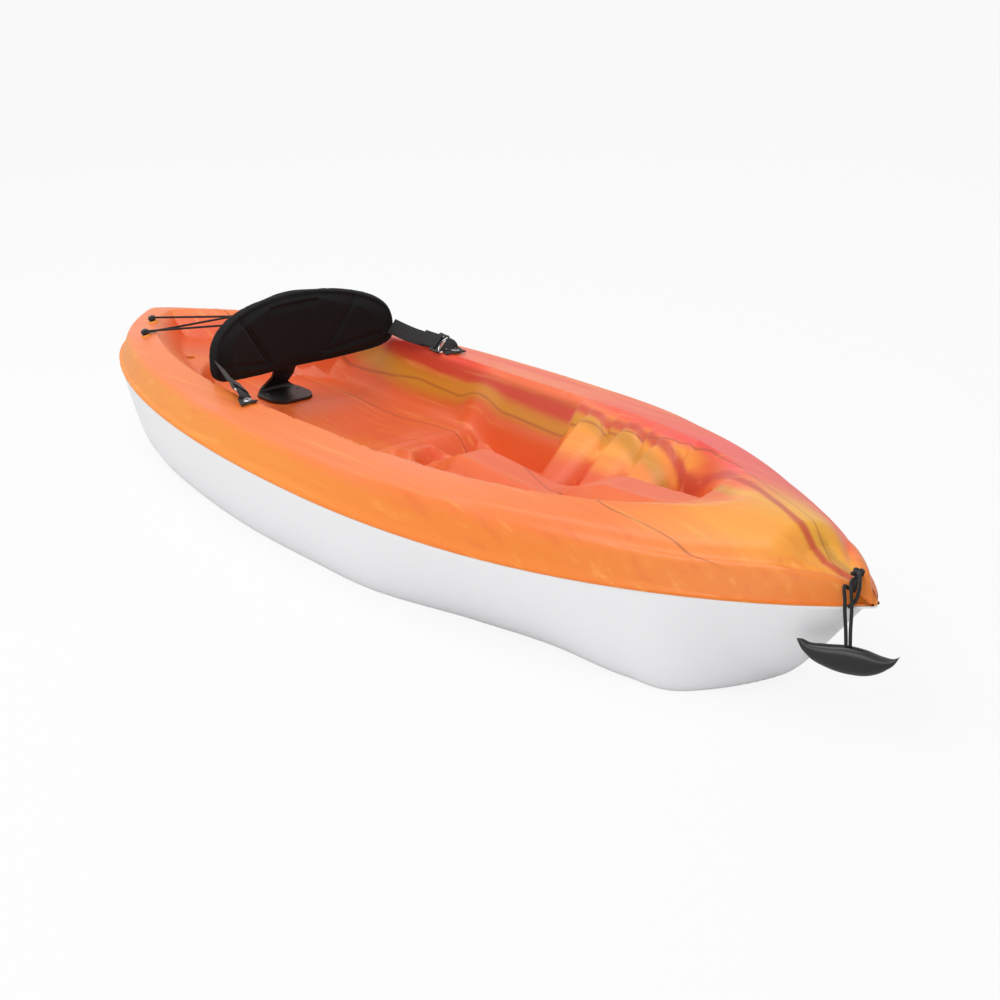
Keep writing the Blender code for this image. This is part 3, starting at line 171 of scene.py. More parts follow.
def recess_half(x):
    """Half width of the cockpit and tank well at the rim."""
    bow = oval((x - RECESS_BOW_X) / (RECESS_TIP_X - RECESS_BOW_X), RECESS_BOW_CURVE)
    stern = oval((RECESS_AFT_X - x) / (RECESS_AFT_X - RECESS_STERN_X), RECESS_STERN_CURVE)
    return RECESS_HALF * np.where(x > RECESS_BOW_X, bow, stern)


def leg_well_half(x):
    return WELL_HALF * oval((x - WELL_NARROW_X) / (WELL_BOW_X - WELL_NARROW_X), WELL_CURVE)


def squareness(x, half, steepest):
    """Turns a breadth into a distance from the outline, which runs at a slant there."""
    slope = (half(x + LOOK_ALONG) - half(x - LOOK_ALONG)) / (2 * LOOK_ALONG)
    return 1 / np.sqrt(1 + np.clip(slope, -steepest, steepest) ** 2)


def seam_height(x):
    rise = np.clip((x - SEAM_RISE_X) / (HALF_LENGTH - SEAM_RISE_X), 0.0, None)
    return SEAM_HEIGHT + SEAM_BOW_RISE * rise ** 2


def gunwale_surface(x, a):
    """The deck's top and side wall, before anything is sunk into it."""
    half, seam = outline_half(x), seam_height(x)
    rim_x = np.clip(x, RIM_AFT_X, RECESS_TIP_X)
    top = RIM_HEIGHT + np.where(rim_x > 0, RIM_BOW_SLOPE * rim_x + RIM_BOW_CURVE * rim_x * rim_x,
                                RIM_STERN_SLOPE * rim_x)
    for drop, start, way in ((BOW_DROP, BOW_DROP_X, 1), (STERN_DROP, STERN_DROP_X, -1)):
        top = top - drop * np.clip((way * x - start) / (HALF_LENGTH - start), 0, 1) ** 2
    crown = CROWN + CROWN_BOW * step(x, *CROWN_RUN)
    wide = np.maximum(half, CROWN_LEAST_HALF)
    top = top - crown * (np.clip(a / wide, 0, 1.2) ** 2 - np.clip(recess_half(x) / wide, 0, 1) ** 2)
    top = np.maximum(top, seam + DECK_LEAST_RISE)
    inset = (half - a) * squareness(x, outline_half, OUTLINE_STEEPEST)
    slope = GUNWALE_SLOPE + NOSE_SLOPE * step(x, *NOSE_RUN)
    wall = seam + FLANGE + np.clip(inset - GUNWALE_LEDGE, 0, None) * slope
    height = soft_min(top, wall, GUNWALE_ROUND)
    groove = step(x, *GROOVE_START) * (1 - step(x, *GROOVE_END))
    height = height - groove * GROOVE_DEPTH * np.exp(-((inset - GROOVE_INSET) / GROOVE_WIDTH) ** 2)
    return np.maximum(height, seam + FLANGE)


def cockpit_floor(x, a):
    """Seat, console, ledges, leg wells and foot blocks."""
    hollow = hump(x, SEAT_HOLLOW_X, SEAT_HOLLOW_RUN)
    seat = SEAT_HEIGHT - SEAT_HOLLOW * hollow * np.exp(-(a / SEAT_HOLLOW_HALF) ** 4)
    seat = seat + SEAT_LIP * step(a, *SEAT_LIP_RUN)
    base = seat + (ramps(x, LEDGE_LINE) - seat) * step(x, *LEDGE_RUN)
    inset = (leg_well_half(x) - WELL_SHOULDER - a) * squareness(x, leg_well_half, RECESS_STEEPEST)
    depth = smooth(inset / WELL_WALL) * step(x, WELL_AFT_X - WELL_AFT_RUN, WELL_AFT_X + WELL_AFT_RUN)
    floor = base + (WELL_HEIGHT - base) * depth
    console = ramps(x, CONSOLE_LINE) - CONSOLE_SLOPE * np.clip(a - CONSOLE_FLAT, 0, None)
    floor = np.where(x > CONSOLE_LINE[0][0], soft_max(floor, console, CONSOLE_ROUND), floor)
    foot = WELL_HEIGHT - FOOT_BLOCK_FOOT
    for middle, top in FOOT_BLOCKS:
        reach = recess_half(np.full(np.shape(x), middle)) - FOOT_BLOCK_TOP - a
        block = soft_min(np.full(np.shape(a), top), top - FOOT_BLOCK_SLOPE * reach, FOOT_BLOCK_TOP_ROUND)
        end = np.clip(1 - reach / FOOT_BLOCK_END, 0, 1)
        taper, taper_curve = FOOT_BLOCK_END_TAPER
        half = FOOT_BLOCK_HALF * np.sqrt(np.clip(1 - taper * end ** taper_curve, 0.05, 1))
        back_curve, back_power = FOOT_BLOCK_BACK
        along = np.clip(1 - np.abs((x - middle) / half) ** back_curve, 0, 1) ** back_power
        least, growth, shallowest, deepest = FOOT_BLOCK_NOTCH
        raised = block - np.clip(least + growth * reach, shallowest, deepest) * (1 - along)
        near = step(np.abs(x - middle), FOOT_BLOCK_HALF * 1.5, FOOT_BLOCK_HALF)
        floor = soft_max(floor, foot + (raised - foot) * near, FOOT_BLOCK_MELT)
    return floor


def deck_height(x, a):
    """Height of the deck's outer face at a distance a from the middle plane."""
    gunwale = gunwale_surface(x, a)
    bulkhead = BULKHEAD_X + BULKHEAD_BOW * a ** 2
    floor = cockpit_floor(x, a)
    floor = floor + (TANK_HEIGHT - floor) * step(-x, -bulkhead, -bulkhead + BULKHEAD_RUN)
    inset = (recess_half(x) - a) * squareness(x, recess_half, RECESS_STEEPEST)
    drop = inset / (RECESS_WALL + PILLAR_WALL * hump(x, PILLAR_X, PILLAR_HALF))
    drop = soft_min(drop, np.ones(np.shape(drop)), RECESS_EASE)
    drop = soft_max(drop, np.zeros(np.shape(drop)), RECESS_EASE / 2)
    sunk = gunwale + (np.minimum(floor, gunwale) - gunwale) * drop
    height = np.where(inset > 0, sunk, gunwale)
    height = height - CUP_DEPTH * smooth((CUP_RADIUS - np.hypot(x - CUP_X, a)) / CUP_WALL)
    hollow = smooth(BOW_RECESS_EDGE - a / (BOW_RECESS_SHARE * outline_half(x) + BOW_TIP_HALF))
    hollow = hollow * step(x, *BOW_RECESS_START) * (1 - step(x, *BOW_RECESS_END))
    height = height - BOW_RECESS_DEPTH * hollow
    return np.where(inset > 0, height, np.maximum(height, seam_height(x) + FLANGE))


def wall_rise(face, x, a):
    """The sheet's thickness measured straight up, which is more where its face is steep."""
    along = (face(x + LOOK_ALONG, a) - face(x - LOOK_ALONG, a)) / (2 * LOOK_ALONG)
    across = (face(x, a + LOOK_ALONG) - face(x, np.abs(a - LOOK_ALONG))) / (2 * LOOK_ALONG)
    return SHEET * np.clip(np.sqrt(1 + along ** 2 + across ** 2), 1.0, SHEET_STEEPEST)


def deck_underside(x, a):
    below = deck_height(x, a) - wall_rise(deck_height, x, a)
    return np.where(a < recess_half(x), below, np.maximum(below, seam_height(x) + GAP / 2))


def stations(count):
    """Places along the length that crowd together where the outline turns in."""
    x = np.linspace(-HALF_LENGTH, HALF_LENGTH, 4000)
    run = np.concatenate(([0.0], np.cumsum(np.hypot(np.diff(x), 0.7 * np.diff(outline_half(x))))))
    return np.interp(np.linspace(0, run[-1], count + 1), run, x)


def shaped(name, points, faces, sharp=35.0):
    """A mesh object at the origin, its faces turned outwards and shaded smooth."""
    mesh = bpy.data.meshes.new(name)
    mesh.from_pydata([tuple(p) for p in points], [], faces)
    form = bmesh.new()
    form.from_mesh(mesh)
    bmesh.ops.recalc_face_normals(form, faces=form.faces)
    form.to_mesh(mesh)
    form.free()
    mesh.shade_smooth()
    mesh.set_sharp_from_angle(angle=math.radians(sharp))
    made = bpy.data.objects.new(name, mesh)
    bpy.context.scene.collection.objects.link(made)
    return made


def formed_sheet(name, places, shares_of, half_of, face_of, back_of, coarse):
    """A closed sheet: a fine outer face, a coarser inner face and the edge between them."""
    points, faces, grids = [], [], []
    for stride, height in ((1, face_of), (coarse, back_of)):
        grid = []
        for x in places[::stride]:
            half = float(half_of(x))
            shares = shares_of(x)
            shares = np.concatenate((-shares[:0:-1], shares))[::stride]
            z = height(np.full(shares.shape, x), np.abs(shares) * half)
            grid.append(list(range(len(points), len(points) + len(shares))))
            points += [(x, s * half, h) for s, h in zip(shares, z)]
        grids.append(grid)
    for grid, turned_over in zip(grids, (False, True)):
        for low, high in zip(grid, grid[1:]):
            for j in range(len(low) - 1):
                face = [low[j], high[j], high[j + 1], low[j + 1]]
                faces.append(face[::-1] if turned_over else face)
    fine, rough = (np.array(grid) for grid in grids)
    for edge, inner in ((fine[:, 0], rough[:, 0]), (fine[:, -1], rough[:, -1]), (fine[0], rough[0]),
                        (fine[-1], rough[-1])):
        for k in range(len(inner) - 1):
            faces.append([int(v) for v in edge[k * coarse:(k + 1) * coarse + 1]]
                         + [int(inner[k + 1]), int(inner[k])])
    return shaped(name, points, faces)


def turned(profile, sides, start, axis, ring=False):
    """A solid turned from (radius, height) points round the axis, closed or a ring."""
    turn = Vector((0, 0, 1)).rotation_difference(Vector(axis).normalized()).to_matrix()
    points, rings, faces = [], [], []
    for radius, height in profile:
        count = sides if radius else 1
        rings.append(list(range(len(points), len(points) + count)))
        for k in range(count):
            angle = 2 * math.pi * k / sides
            points.append(Vector((radius * math.cos(angle), radius * math.sin(angle), height)))
    for low, high in zip(rings, rings[1:] + (rings[:1] if ring else [])):
        for k in range(sides):
            face = [low[k % len(low)], low[(k + 1) % len(low)],
                    high[(k + 1) % len(high)], high[k % len(high)]]
            faces.append([v for n, v in enumerate(face) if v != face[n - 1]])
    return [Vector(start) + turn @ p for p in points], faces


def joined(solids):
    """The points and faces of several solids as one."""
    points, faces = [], []
    for some, their_faces in solids:
        faces += [[len(points) + i for i in face] for face in their_faces]
        points += list(some)
    return points, faces


def settled(target):
    """Gives the target the mesh that its modifiers make of it, and takes them off."""
    bpy.context.view_layer.update()
    mesh = bpy.data.meshes.new_from_object(target.evaluated_get(bpy.context.evaluated_depsgraph_get()))
    target.modifiers.clear()
    target.data = mesh


def bored(target, holes, depth, top):
    """Drills straight down through the target: each hole is its radius and its point."""
    rods = [turned([(0, -depth), (radius, -depth), (radius, top), (0, top)], 32, place, (0, 0, 1))
            for radius, place in holes]
    tool = shaped(target.name + "_cutter", *joined(rods))
    cut = target.modifiers.new("bores", "BOOLEAN")
    cut.object, cut.operation, cut.solver = tool, "DIFFERENCE", "EXACT"
    settled(target)
    bpy.data.objects.remove(tool)


def deck_point(x, y):
    return Vector((x, y, float(deck_height(np.array(x), np.array(abs(y))))))


def deck_shares(x):
    """Distances from the middle plane as shares of the half breadth, packed at rim and wall."""
    half = float(outline_half(x))
    rim = float(soft_max(recess_half(x), 0.5 * half, 0.03)) / half
    inner = rim * np.linspace(0, 1, 61) ** 0.85
    outer = rim + (1 - rim) * (1 - (1 - np.linspace(0, 1, 29)) ** 1.3)
    return np.concatenate((inner, outer[1:]))


deck = formed_sheet("deck", stations(360), deck_shares, outline_half, deck_height, deck_underside, 8)
drains = [deck_point(x, side * y) for x, y in SCUPPERS for side in (-1, 1)]
bored(deck, [(SCUPPER_BORE, p) for p in drains] + [(ROPE_HOLE_RADIUS, deck_point(ROPE_HOLE_X, 0))], 0.3, 0.1)

# Most colours lie in the sheet itself: amber at the sides, salmon and pink along the rims,
# coral in the cockpit and gold at the bow, with thin streaks drawn out along the sheet. Laid
# over them are a brown painted shade on the far wall of the cockpit, a yellow painted highlight
# on the far foot blocks, and painted shade that darkens the gold where it dips into the cockpit.
# Each streak is a line of (x, y) points. The sheet is satin, with a fine grain from the mould
STREAKS = {
    "dark_streak": ((-1.0, 0.09), (-0.632, 0.104), (-0.385, 0.118), (-0.084, 0.124), (0.409, -0.017),
                    (0.728, -0.160), (0.965, -0.142), (1.08, -0.106)),
    "fine_streak": ((-1.0, 0.15), (-0.637, 0.170), (-0.369, 0.204), (-0.147, 0.200), (0.003, 0.199),
                    (0.60, 0.185), (1.183, -0.020)),
    "red_streak": ((-1.0, 0.21), (-0.231, 0.225), (0.016, 0.223), (0.186, 0.221), (0.269, 0.207),
                   (0.393, 0.198), (0.689, 0.128), (1.056, -0.008)),
    "gold_streak": ((-1.0, 0.19), (-0.231, 0.205), (0.186, 0.203), (0.393, 0.176), (0.689, 0.085),
                    (0.90, 0.02), (1.056, 0.02), (1.20, 0.0)),
}
STREAK_ROUNDING = 0.035
# Each coat is a colour, its strength, and the spans that it lies in: what is measured, where
# the coat starts, where it is full, and how far the drift of the colours shifts that
PINK_SIDE = (("across", 0.0, 0.40, 0.16), ("length", -1.0, -0.45, 0))
RIM_COATS = (("#EC5A3A", 1.0, *PINK_SIDE), ("#F28050", 0.75, ("drift", 0.50, 0.66, 0)),
             ("#EE4C50", 0.7, *PINK_SIDE, ("drift", 0.52, 0.36, 0)),
             ("#F5A030", 0.5, ("across", 0.84, 0.92, 0.16)))
FLOOR_COATS = (("#EC7A2E", 1.0, ("breadth", 0.02, -0.16, 0.3)), ("#E2602A", 0.8, ("breadth", 0.05, 0.14, 0)),
               # Painted shade: a brown coat on the far wall of the cockpit.
               ("#BC5826", 0.85, ("breadth", 0.165, 0.215, 0)),
               # Painted highlight: a yellow coat on the raised faces of the far foot blocks.
               ("#F7A63A", 1.0, ("length", 0.14, 0.22, 0), ("length", 0.66, 0.54, 0),
                ("breadth", 0.07, 0.13, 0), ("sunk", 0.105, 0.080, 0), ("breadth", 0.08, 0.20, 0.25)))
BOW_COATS = (("#F5B02C", 1.0, ("length", 0.70, 1.00, 0.3), ("across", 0.75, 0.20, 0.76),
              ("across", -0.80, -0.35, 0.86)),
             ("#F68E3E", 0.55, ("length", 0.72, 0.96, 0), ("across", 0.10, -0.30, 0.16)))
STREAK_COATS = (("#C43A26", 0.85, ("red_streak", 0.0125, 0.0025, 0.02)),
                ("#8E3A22", 0.55, ("dark_streak", 0.0026, 0.0002, 0)),
                ("#A04A26", 0.6, ("fine_streak", 0.0025, 0.0001, 0)))
FIBRE_COATS = (("#FFC060", 0.22, ("fibres", 0.56, 0.74, 0)), ("#D8502E", 0.22, ("fibres", 0.44, 0.28, 0)))
DRIFT_STRETCH, FIBRE_STRETCH = (1.6, 14.0, 5.0), (2.0, 90.0, 40.0)


def linear(hex_colour):
    """An sRGB hex colour as linear red, green, blue and alpha."""
    parts = [int(hex_colour[i:i + 2], 16) / 255 for i in (1, 3, 5)]
    return tuple(p / 12.92 if p <= 0.04045 else ((p + 0.055) / 1.055) ** 2.4 for p in parts) + (1.0,)


def add(tree, kind, inputs=None, **settings):
    """Adds a node with its settings; inputs are values or sockets, by name or place."""
    node = tree.nodes.new(kind)
    for name, value in settings.items():
        setattr(node, name, value)
    for name, value in (inputs or {}).items():
        if isinstance(value, bpy.types.NodeSocket):
            tree.links.new(value, node.inputs[name])
        else:
            is_colour = isinstance(value, str) and value[0] == "#"
            node.inputs[name].default_value = linear(value) if is_colour else value
    return node


def material(name, colour, roughness, grain=None, **sockets):
    """A material with its Principled shader, and a moulded relief where grain gives the size of
    its cells and its depth in millimetres and its strength."""
    made = bpy.data.materials.new(name)
    made.use_nodes = True
    tree = made.node_tree
    shader = tree.nodes["Principled BSDF"]
    shader.inputs["Base Color"].default_value = linear(colour)
    shader.inputs["Roughness"].default_value = roughness
    for socket, value in sockets.items():
        shader.inputs[socket.replace("_", " ")].default_value = value
    if grain:
        cell, depth, strength = grain
        place = add(tree, "ShaderNodeTexCoord").outputs["Object"]
        relief = add(tree, "ShaderNodeTexNoise", {"Vector": place, "Scale": 1000 / cell, "Detail": 3.0})
        embossed(tree, shader, relief.outputs["Fac"], depth / 1000, strength)
    return made, tree, shader


def embossed(tree, shader, height, depth, strength):
    bump = add(tree, "ShaderNodeBump", {"Height": height, "Distance": depth, "Strength": strength})
    tree.links.new(bump.outputs["Normal"], shader.inputs["Normal"])


def dressed(piece, finish, body, slot_name, *nodes):
    """Gives a piece its material and its body, and hides the nodes that it stands for; the slot name is not
    used.
    """
    piece.data.materials.clear()
    piece.data.materials.append(finish)
    if body:
        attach(piece, body)
    if nodes:
        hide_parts(*nodes)


spots = np.empty(len(deck.data.vertices) * 3)
deck.data.vertices.foreach_get("co", spots)
spot_x, spot_y, spot_z = spots.reshape(-1, 3).T
half_there = outline_half(spot_x)
marks = {"across": spot_y / half_there,
         "inset": (half_there - np.abs(spot_y)) * squareness(spot_x, outline_half, OUTLINE_STEEPEST),
         "sunk": gunwale_surface(spot_x, np.abs(spot_y)) - spot_z}
for name, line in STREAKS.items():
    knots, values = np.array(line).T
    rounding = np.linspace(-STREAK_ROUNDING, STREAK_ROUNDING, 9)
    marks[name] = spot_y - np.mean([np.interp(spot_x + shift, knots, values) for shift in rounding], axis=0)

sheet_finish, tree, shader = material("streaked_polyethylene", "#F07848", 0.40, (1.6, 0.05, 0.25), IOR=1.46)
measured = {}
for name, values in marks.items():
    kept = deck.data.attributes.new(name, "FLOAT", "POINT")
    kept.data.foreach_set("value", np.asarray(values, dtype=np.float32))
    measured[name] = add(tree, "ShaderNodeAttribute", attribute_name=name).outputs["Fac"]
place = add(tree, "ShaderNodeTexCoord").outputs["Object"]
axes = add(tree, "ShaderNodeSeparateXYZ", {0: place}).outputs
measured["length"], measured["breadth"] = axes["X"], axes["Y"]
for name, stretch, detail in (("drift", DRIFT_STRETCH, 3.0), ("fibres", FIBRE_STRETCH, 4.0)):
    drawn_out = add(tree, "ShaderNodeVectorMath", {0: place, 1: stretch}, operation="MULTIPLY").outputs[0]
    noise = add(tree, "ShaderNodeTexNoise", {"Vector": drawn_out, "Scale": 1.0, "Detail": detail})
    measured[name] = noise.outputs["Fac"]
wander = add(tree, "ShaderNodeMath", {0: measured["drift"], 1: 0.5}, operation="SUBTRACT").outputs[0]


def coated(under, over, strength, *spans):
    """Lays a colour over the one under it, where all its spans are full, at its strength."""
    share = strength
    for name, start, full, drift in spans:
        value = measured[name]
        if drift:
            shifted = {0: wander, 1: drift, 2: value}
            value = add(tree, "ShaderNodeMath", shifted, operation="MULTIPLY_ADD").outputs[0]
        if name in STREAKS:
            value = add(tree, "ShaderNodeMath", {0: value}, operation="ABSOLUTE").outputs[0]
        ends = {"Value": value, "From Min": min(start, full), "From Max": max(start, full),
                "To Min": float(start > full), "To Max": float(start < full)}
        rise = add(tree, "ShaderNodeMapRange", ends, interpolation_type="SMOOTHSTEP").outputs[0]
        share = add(tree, "ShaderNodeMath", {0: rise, 1: share}, operation="MULTIPLY").outputs[0]
    return add(tree, "ShaderNodeMix", {0: share, 6: under, 7: over}, data_type="RGBA").outputs[2]


rims, cockpit = "#EE7A32", "#E8602C"
for coat in RIM_COATS:
    rims = coated(rims, *coat)
for coat in FLOOR_COATS:
    cockpit = coated(cockpit, *coat)
colour = coated(rims, cockpit, 1.0, ("sunk", 0.006, 0.024, 0))
# Painted shade: the gold turns darker where the sheet sinks into the cockpit.
gold = coated("#F2AC2C", "#C88A20", 1.0, ("sunk", 0.004, 0.030, 0))
side_amber = coated("#EE8E1E", "#EA8028", 1.0, ("length", -0.6, 0.6, 0))
for coat in (*BOW_COATS, (gold, 0.85, ("gold_streak", 0.019, 0.001, 0.03)), *STREAK_COATS,
             (side_amber, 1.0, ("inset", 0.034, 0.020, 0)), *FIBRE_COATS):
    colour = coated(colour, *coat)
tree.links.new(colour, shader.inputs["Base Color"])
dressed(deck, sheet_finish, "kayak", "deck_sheet", "deck_shell")

# Hull sheet: white polyethylene formed over its own mould, with a flat middle, two tunnels
# and two outer runners. It is trimmed flush with the deck's flange. Satin, with a fine grain.
CONTACT_LINE = ((-1.04, 0.0), (-0.93, 0.150), (-0.80, 0.197), (-0.62, 0.235), (-0.30, 0.275),
                (-0.05, 0.280), (0.16, 0.275), (0.42, 0.215), (0.62, 0.175), (0.80, 0.165),
                (0.90, 0.140), (1.00, 0.0))
CONTACT_MOST, HULL_INSET, TUNNEL_START, TUNNEL_END = 0.9, 0.002, (-1.02, -0.85), (0.62, 0.86)
TUNNEL_DEPTH, TUNNEL_SHARE, TUNNEL_HALF = 0.024, 0.52, 0.30
STEM_X, STEM_SLOPE, STEM_ROUND, GROUND_X = 1.000, 1.08, 0.05, 0.90
STERN_X, STERN_SLOPE, STERN_ROUND = -1.05, 1.0, 0.10
SIDE_CURVE, SIDE_CURVE_ENDS, SIDE_CURVE_RUN = 1.30, 0.45, (0.35, 0.85)


def curve_through(x, line):
    """A smooth curve through the line's points, level past its ends."""
    knots, values = np.array(line).T
    slopes = np.gradient(values, knots)
    x = np.clip(x, knots[0], knots[-1])
    i = np.clip(np.searchsorted(knots, x) - 1, 0, len(knots) - 2)
    run = knots[i + 1] - knots[i]
    t = (x - knots[i]) / run
    start = (2 * t ** 3 - 3 * t ** 2 + 1) * values[i] + (t ** 3 - 2 * t ** 2 + t) * run * slopes[i]
    end = (3 * t ** 2 - 2 * t ** 3) * values[i + 1] + (t ** 3 - t ** 2) * run * slopes[i + 1]
    return np.maximum(start + end, 0.0)


def rising(past, slope, rounding):
    return 0.5 * slope * (past + np.hypot(past, rounding))


def hull_half(x):
    return outline_half(x) - HULL_INSET * np.clip(outline_half(x) / 0.02 - 0.5, 0, 1)


def contact_half(x):
    """Half breadth of the part of the bottom that stands on the floor."""
    return np.minimum(curve_through(x, CONTACT_LINE), CONTACT_MOST * hull_half(x))


def hull_height(x, a):
    """Height of the hull's outer face at a distance a from the middle plane."""
    half, contact = hull_half(x), contact_half(x)
    top = seam_height(x) - FLANGE
    keel = np.maximum(rising(x - STEM_X, STEM_SLOPE, STEM_ROUND),
                      rising(STERN_X - x, STERN_SLOPE, STERN_ROUND))
    keel = np.clip(keel - rising(GROUND_X - STEM_X, STEM_SLOPE, STEM_ROUND), 0.0, None)
    keel = np.minimum(keel, top)
    curve = SIDE_CURVE + SIDE_CURVE_ENDS * step(np.abs(x), *SIDE_CURVE_RUN)
    height = keel + (top - keel) * np.clip((a - contact) / (half - contact), 0, 1) ** curve
    tunnel = TUNNEL_DEPTH * hump(a / np.maximum(contact, 0.02), TUNNEL_SHARE, TUNNEL_HALF)
    tunnel = tunnel * step(x, *TUNNEL_START) * (1 - step(x, *TUNNEL_END))
    return np.minimum(height + tunnel, top)


def hull_inside(x, a):
    return np.minimum(hull_height(x, a) + wall_rise(hull_height, x, a), seam_height(x) - GAP / 2)


def hull_shares(x):
    turn = max(float(contact_half(x)) / float(hull_half(x)), 0.35)
    outer = turn + (1 - turn) * (1 - (1 - np.linspace(0, 1, 32)) ** 1.15)
    return np.concatenate((turn * np.linspace(0, 1, 33), outer[1:]))


hull = formed_sheet("hull", stations(320), hull_shares, hull_half, hull_height, hull_inside, 1)
bored(hull, [(SCUPPER_BORE + SCUPPER_WALL + GAP, p) for p in drains], 0.4, 0.1)
dressed(hull, material("white_polyethylene", "#F1F1F3", 0.34, (1.8, 0.05, 0.2), IOR=1.50)[0], "kayak",
        "hull_sheet", "hull_shell")

# Scupper tubes: the deck sheet is drawn down through the hull, so that water runs out.
tubes = []
for place in drains:
    bottom, top = float(hull_height(np.array(place.x), np.array(abs(place.y)))), place.z
    profile = [(SCUPPER_BORE, bottom + 0.001), (SCUPPER_BORE + SCUPPER_WALL, bottom + 0.001),
               (SCUPPER_BORE + SCUPPER_WALL, top - SHEET / 2), (SCUPPER_BORE + 0.0004, top + 0.0002),
               (SCUPPER_BORE - 0.0002, top - 0.002)]
    tubes.append(turned(profile, 32, (place.x, place.y, 0), (0, 0, 1), ring=True))
dressed(shaped("scupper_tubes", *joined(tubes)), sheet_finish, "kayak", "deck_sheet")

# Foam blocks inside the kayak: closed-cell foam that holds the deck off the hull. They keep
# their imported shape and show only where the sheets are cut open. The cells make it matt.
foam = material("closed_cell_foam", "#F1F1EC", 0.85, (2.5, 0.3, 0.6))[0]
for name in ("foam_block_bow", "foam_block_seat", "foam_block_stern"):
    cad[name].material_slots[0].material = foam

# Drain plug: a black moulded screw plug with a raised bar for the fingers, on a soft washer,
# in a boss on the port side of the stern. Moulded nylon is dull black with a fine grain, and
# the washer's nitrile rubber is greyer and matt.
PLUG_X, PLUG_HEIGHT, PLUG_RADIUS, PLUG_LENGTH = -1.120, 0.213, 0.0085, 0.016
PLUG_HEAD_RADIUS, PLUG_HEAD, PLUG_BOSS_RISE, SEAL_THICKNESS = 0.0135, 0.006, 0.004, 0.002
BAR_HALF, BAR_TIP, BAR_WIDTH, BAR_THICKNESS = 0.010, 0.0015, 0.005, 0.0042
UP = Vector((0, 0, 1))


def swept(name, path, face_ways, section, closed=True):
    """A band or tube: the section's (across, up) points carried along the path, facing one way
    or one way at each point, with a UV map of the metres round in U and along in V."""
    path = [Vector(p) for p in path]
    if isinstance(face_ways, Vector):
        face_ways = [face_ways] * len(path)
    points, faces, runs, count = [], [], [0.0], len(section)
    for p, q in zip(path, path[1:]):
        runs.append(runs[-1] + (q - p).length)
    for k, (here, up) in enumerate(zip(path, face_ways)):
        way = (path[min(k + 1, len(path) - 1)] - path[max(k - 1, 0)]).normalized()
        up = (up - way * up.dot(way)).normalized()
        points += [here + way.cross(up) * u + up * v for u, v in section]
    for k in range(len(path) - 1):
        for m in range(count):
            n = (m + 1) % count
            faces.append([k * count + m, k * count + n, (k + 1) * count + n, (k + 1) * count + m])
    if closed:
        faces += [list(range(count))[::-1], [(len(path) - 1) * count + m for m in range(count)]]
    made = shaped(name, points, faces, 50.0)
    rim = [0.0]
    for (u0, v0), (u1, v1) in zip(section, section[1:] + section[:1]):
        rim.append(rim[-1] + math.hypot(u1 - u0, v1 - v0))
    layer = made.data.uv_layers.new(name="along")
    for face in made.data.polygons:
        places = [v % count for v in face.vertices]
        wraps = len(places) == 4 and min(places) == 0 and max(places) == count - 1
        for loop, m in zip(face.loop_indices, places):
            around = rim[count] if wraps and m == 0 else rim[m]
            layer.data[loop].uv = (around, runs[made.data.loops[loop].vertex_index // count])
    return made


def flat_section(width, thickness):
    """A band's section with round edges."""
    half, edge = width / 2 - thickness / 2, thickness / 2
    round_edge = [(half + edge * math.sin(a), edge * math.cos(a)) for a in (0.0, 0.8, 1.571, 2.34, math.pi)]
    top = [(-half * 0.5, edge), (0, edge), (half * 0.5, edge)]
    return top + round_edge + [(-u, -v) for u, v in top] + [(-u, -v) for u, v in round_edge]


plug_y = float(outline_half(np.array(PLUG_X)))
plug_slope = float(outline_half(np.array(PLUG_X + 0.002)) - plug_y) / 0.002
plug_axis = Vector((-plug_slope, 1.0, 0.0)).normalized()
plug_face = Vector((PLUG_X, plug_y, PLUG_HEIGHT)) + plug_axis * PLUG_BOSS_RISE
head_low = SEAL_THICKNESS + 2 * GAP
head = [(share * PLUG_HEAD_RADIUS, head_low + rise * PLUG_HEAD)
        for share, rise in ((1, 0), (1, 0.4), (0.96, 0.5), (0.6, 0.55), (0, 0.55))]
shank = [(0, -PLUG_LENGTH), (PLUG_RADIUS, -PLUG_LENGTH), (PLUG_RADIUS, head_low)]
plug = shaped("drain_plug_body", *turned(shank + head, 48, plug_face, plug_axis))
bar_seat = plug_face + plug_axis * (head_low + PLUG_HEAD * 0.62)
bar_rises = (-BAR_HALF - BAR_TIP, -BAR_HALF, 0, BAR_HALF, BAR_HALF + BAR_TIP)
finger_bar = swept("drain_plug_bar", [bar_seat + UP * rise for rise in bar_rises], plug_axis,
                   flat_section(BAR_WIDTH, BAR_THICKNESS))
black_plastic = material("moulded_nylon", "#101011", 0.46, (0.9, 0.05, 0.5), IOR=1.53)[0]
dressed(plug, black_plastic, "drain_plug_body", "black_plastic", "drain_plug")
dressed(finger_bar, black_plastic, "drain_plug_body", "black_plastic")
seal_rubber = material("nitrile_rubber", "#232324", 0.8, (0.6, 0.04, 0.4))[0]
cad["drain_plug_seal"].material_slots[0].material = seal_rubber
boss_profile = [(0, -0.012), (0.0190, -0.012), (0.0165, -0.001), (0.0155, 0.0), (0, 0.0)]
boss = shaped("drain_plug_boss", *turned(boss_profile, 48, plug_face, plug_axis))
dressed(boss, sheet_finish, "kayak", "deck_sheet")

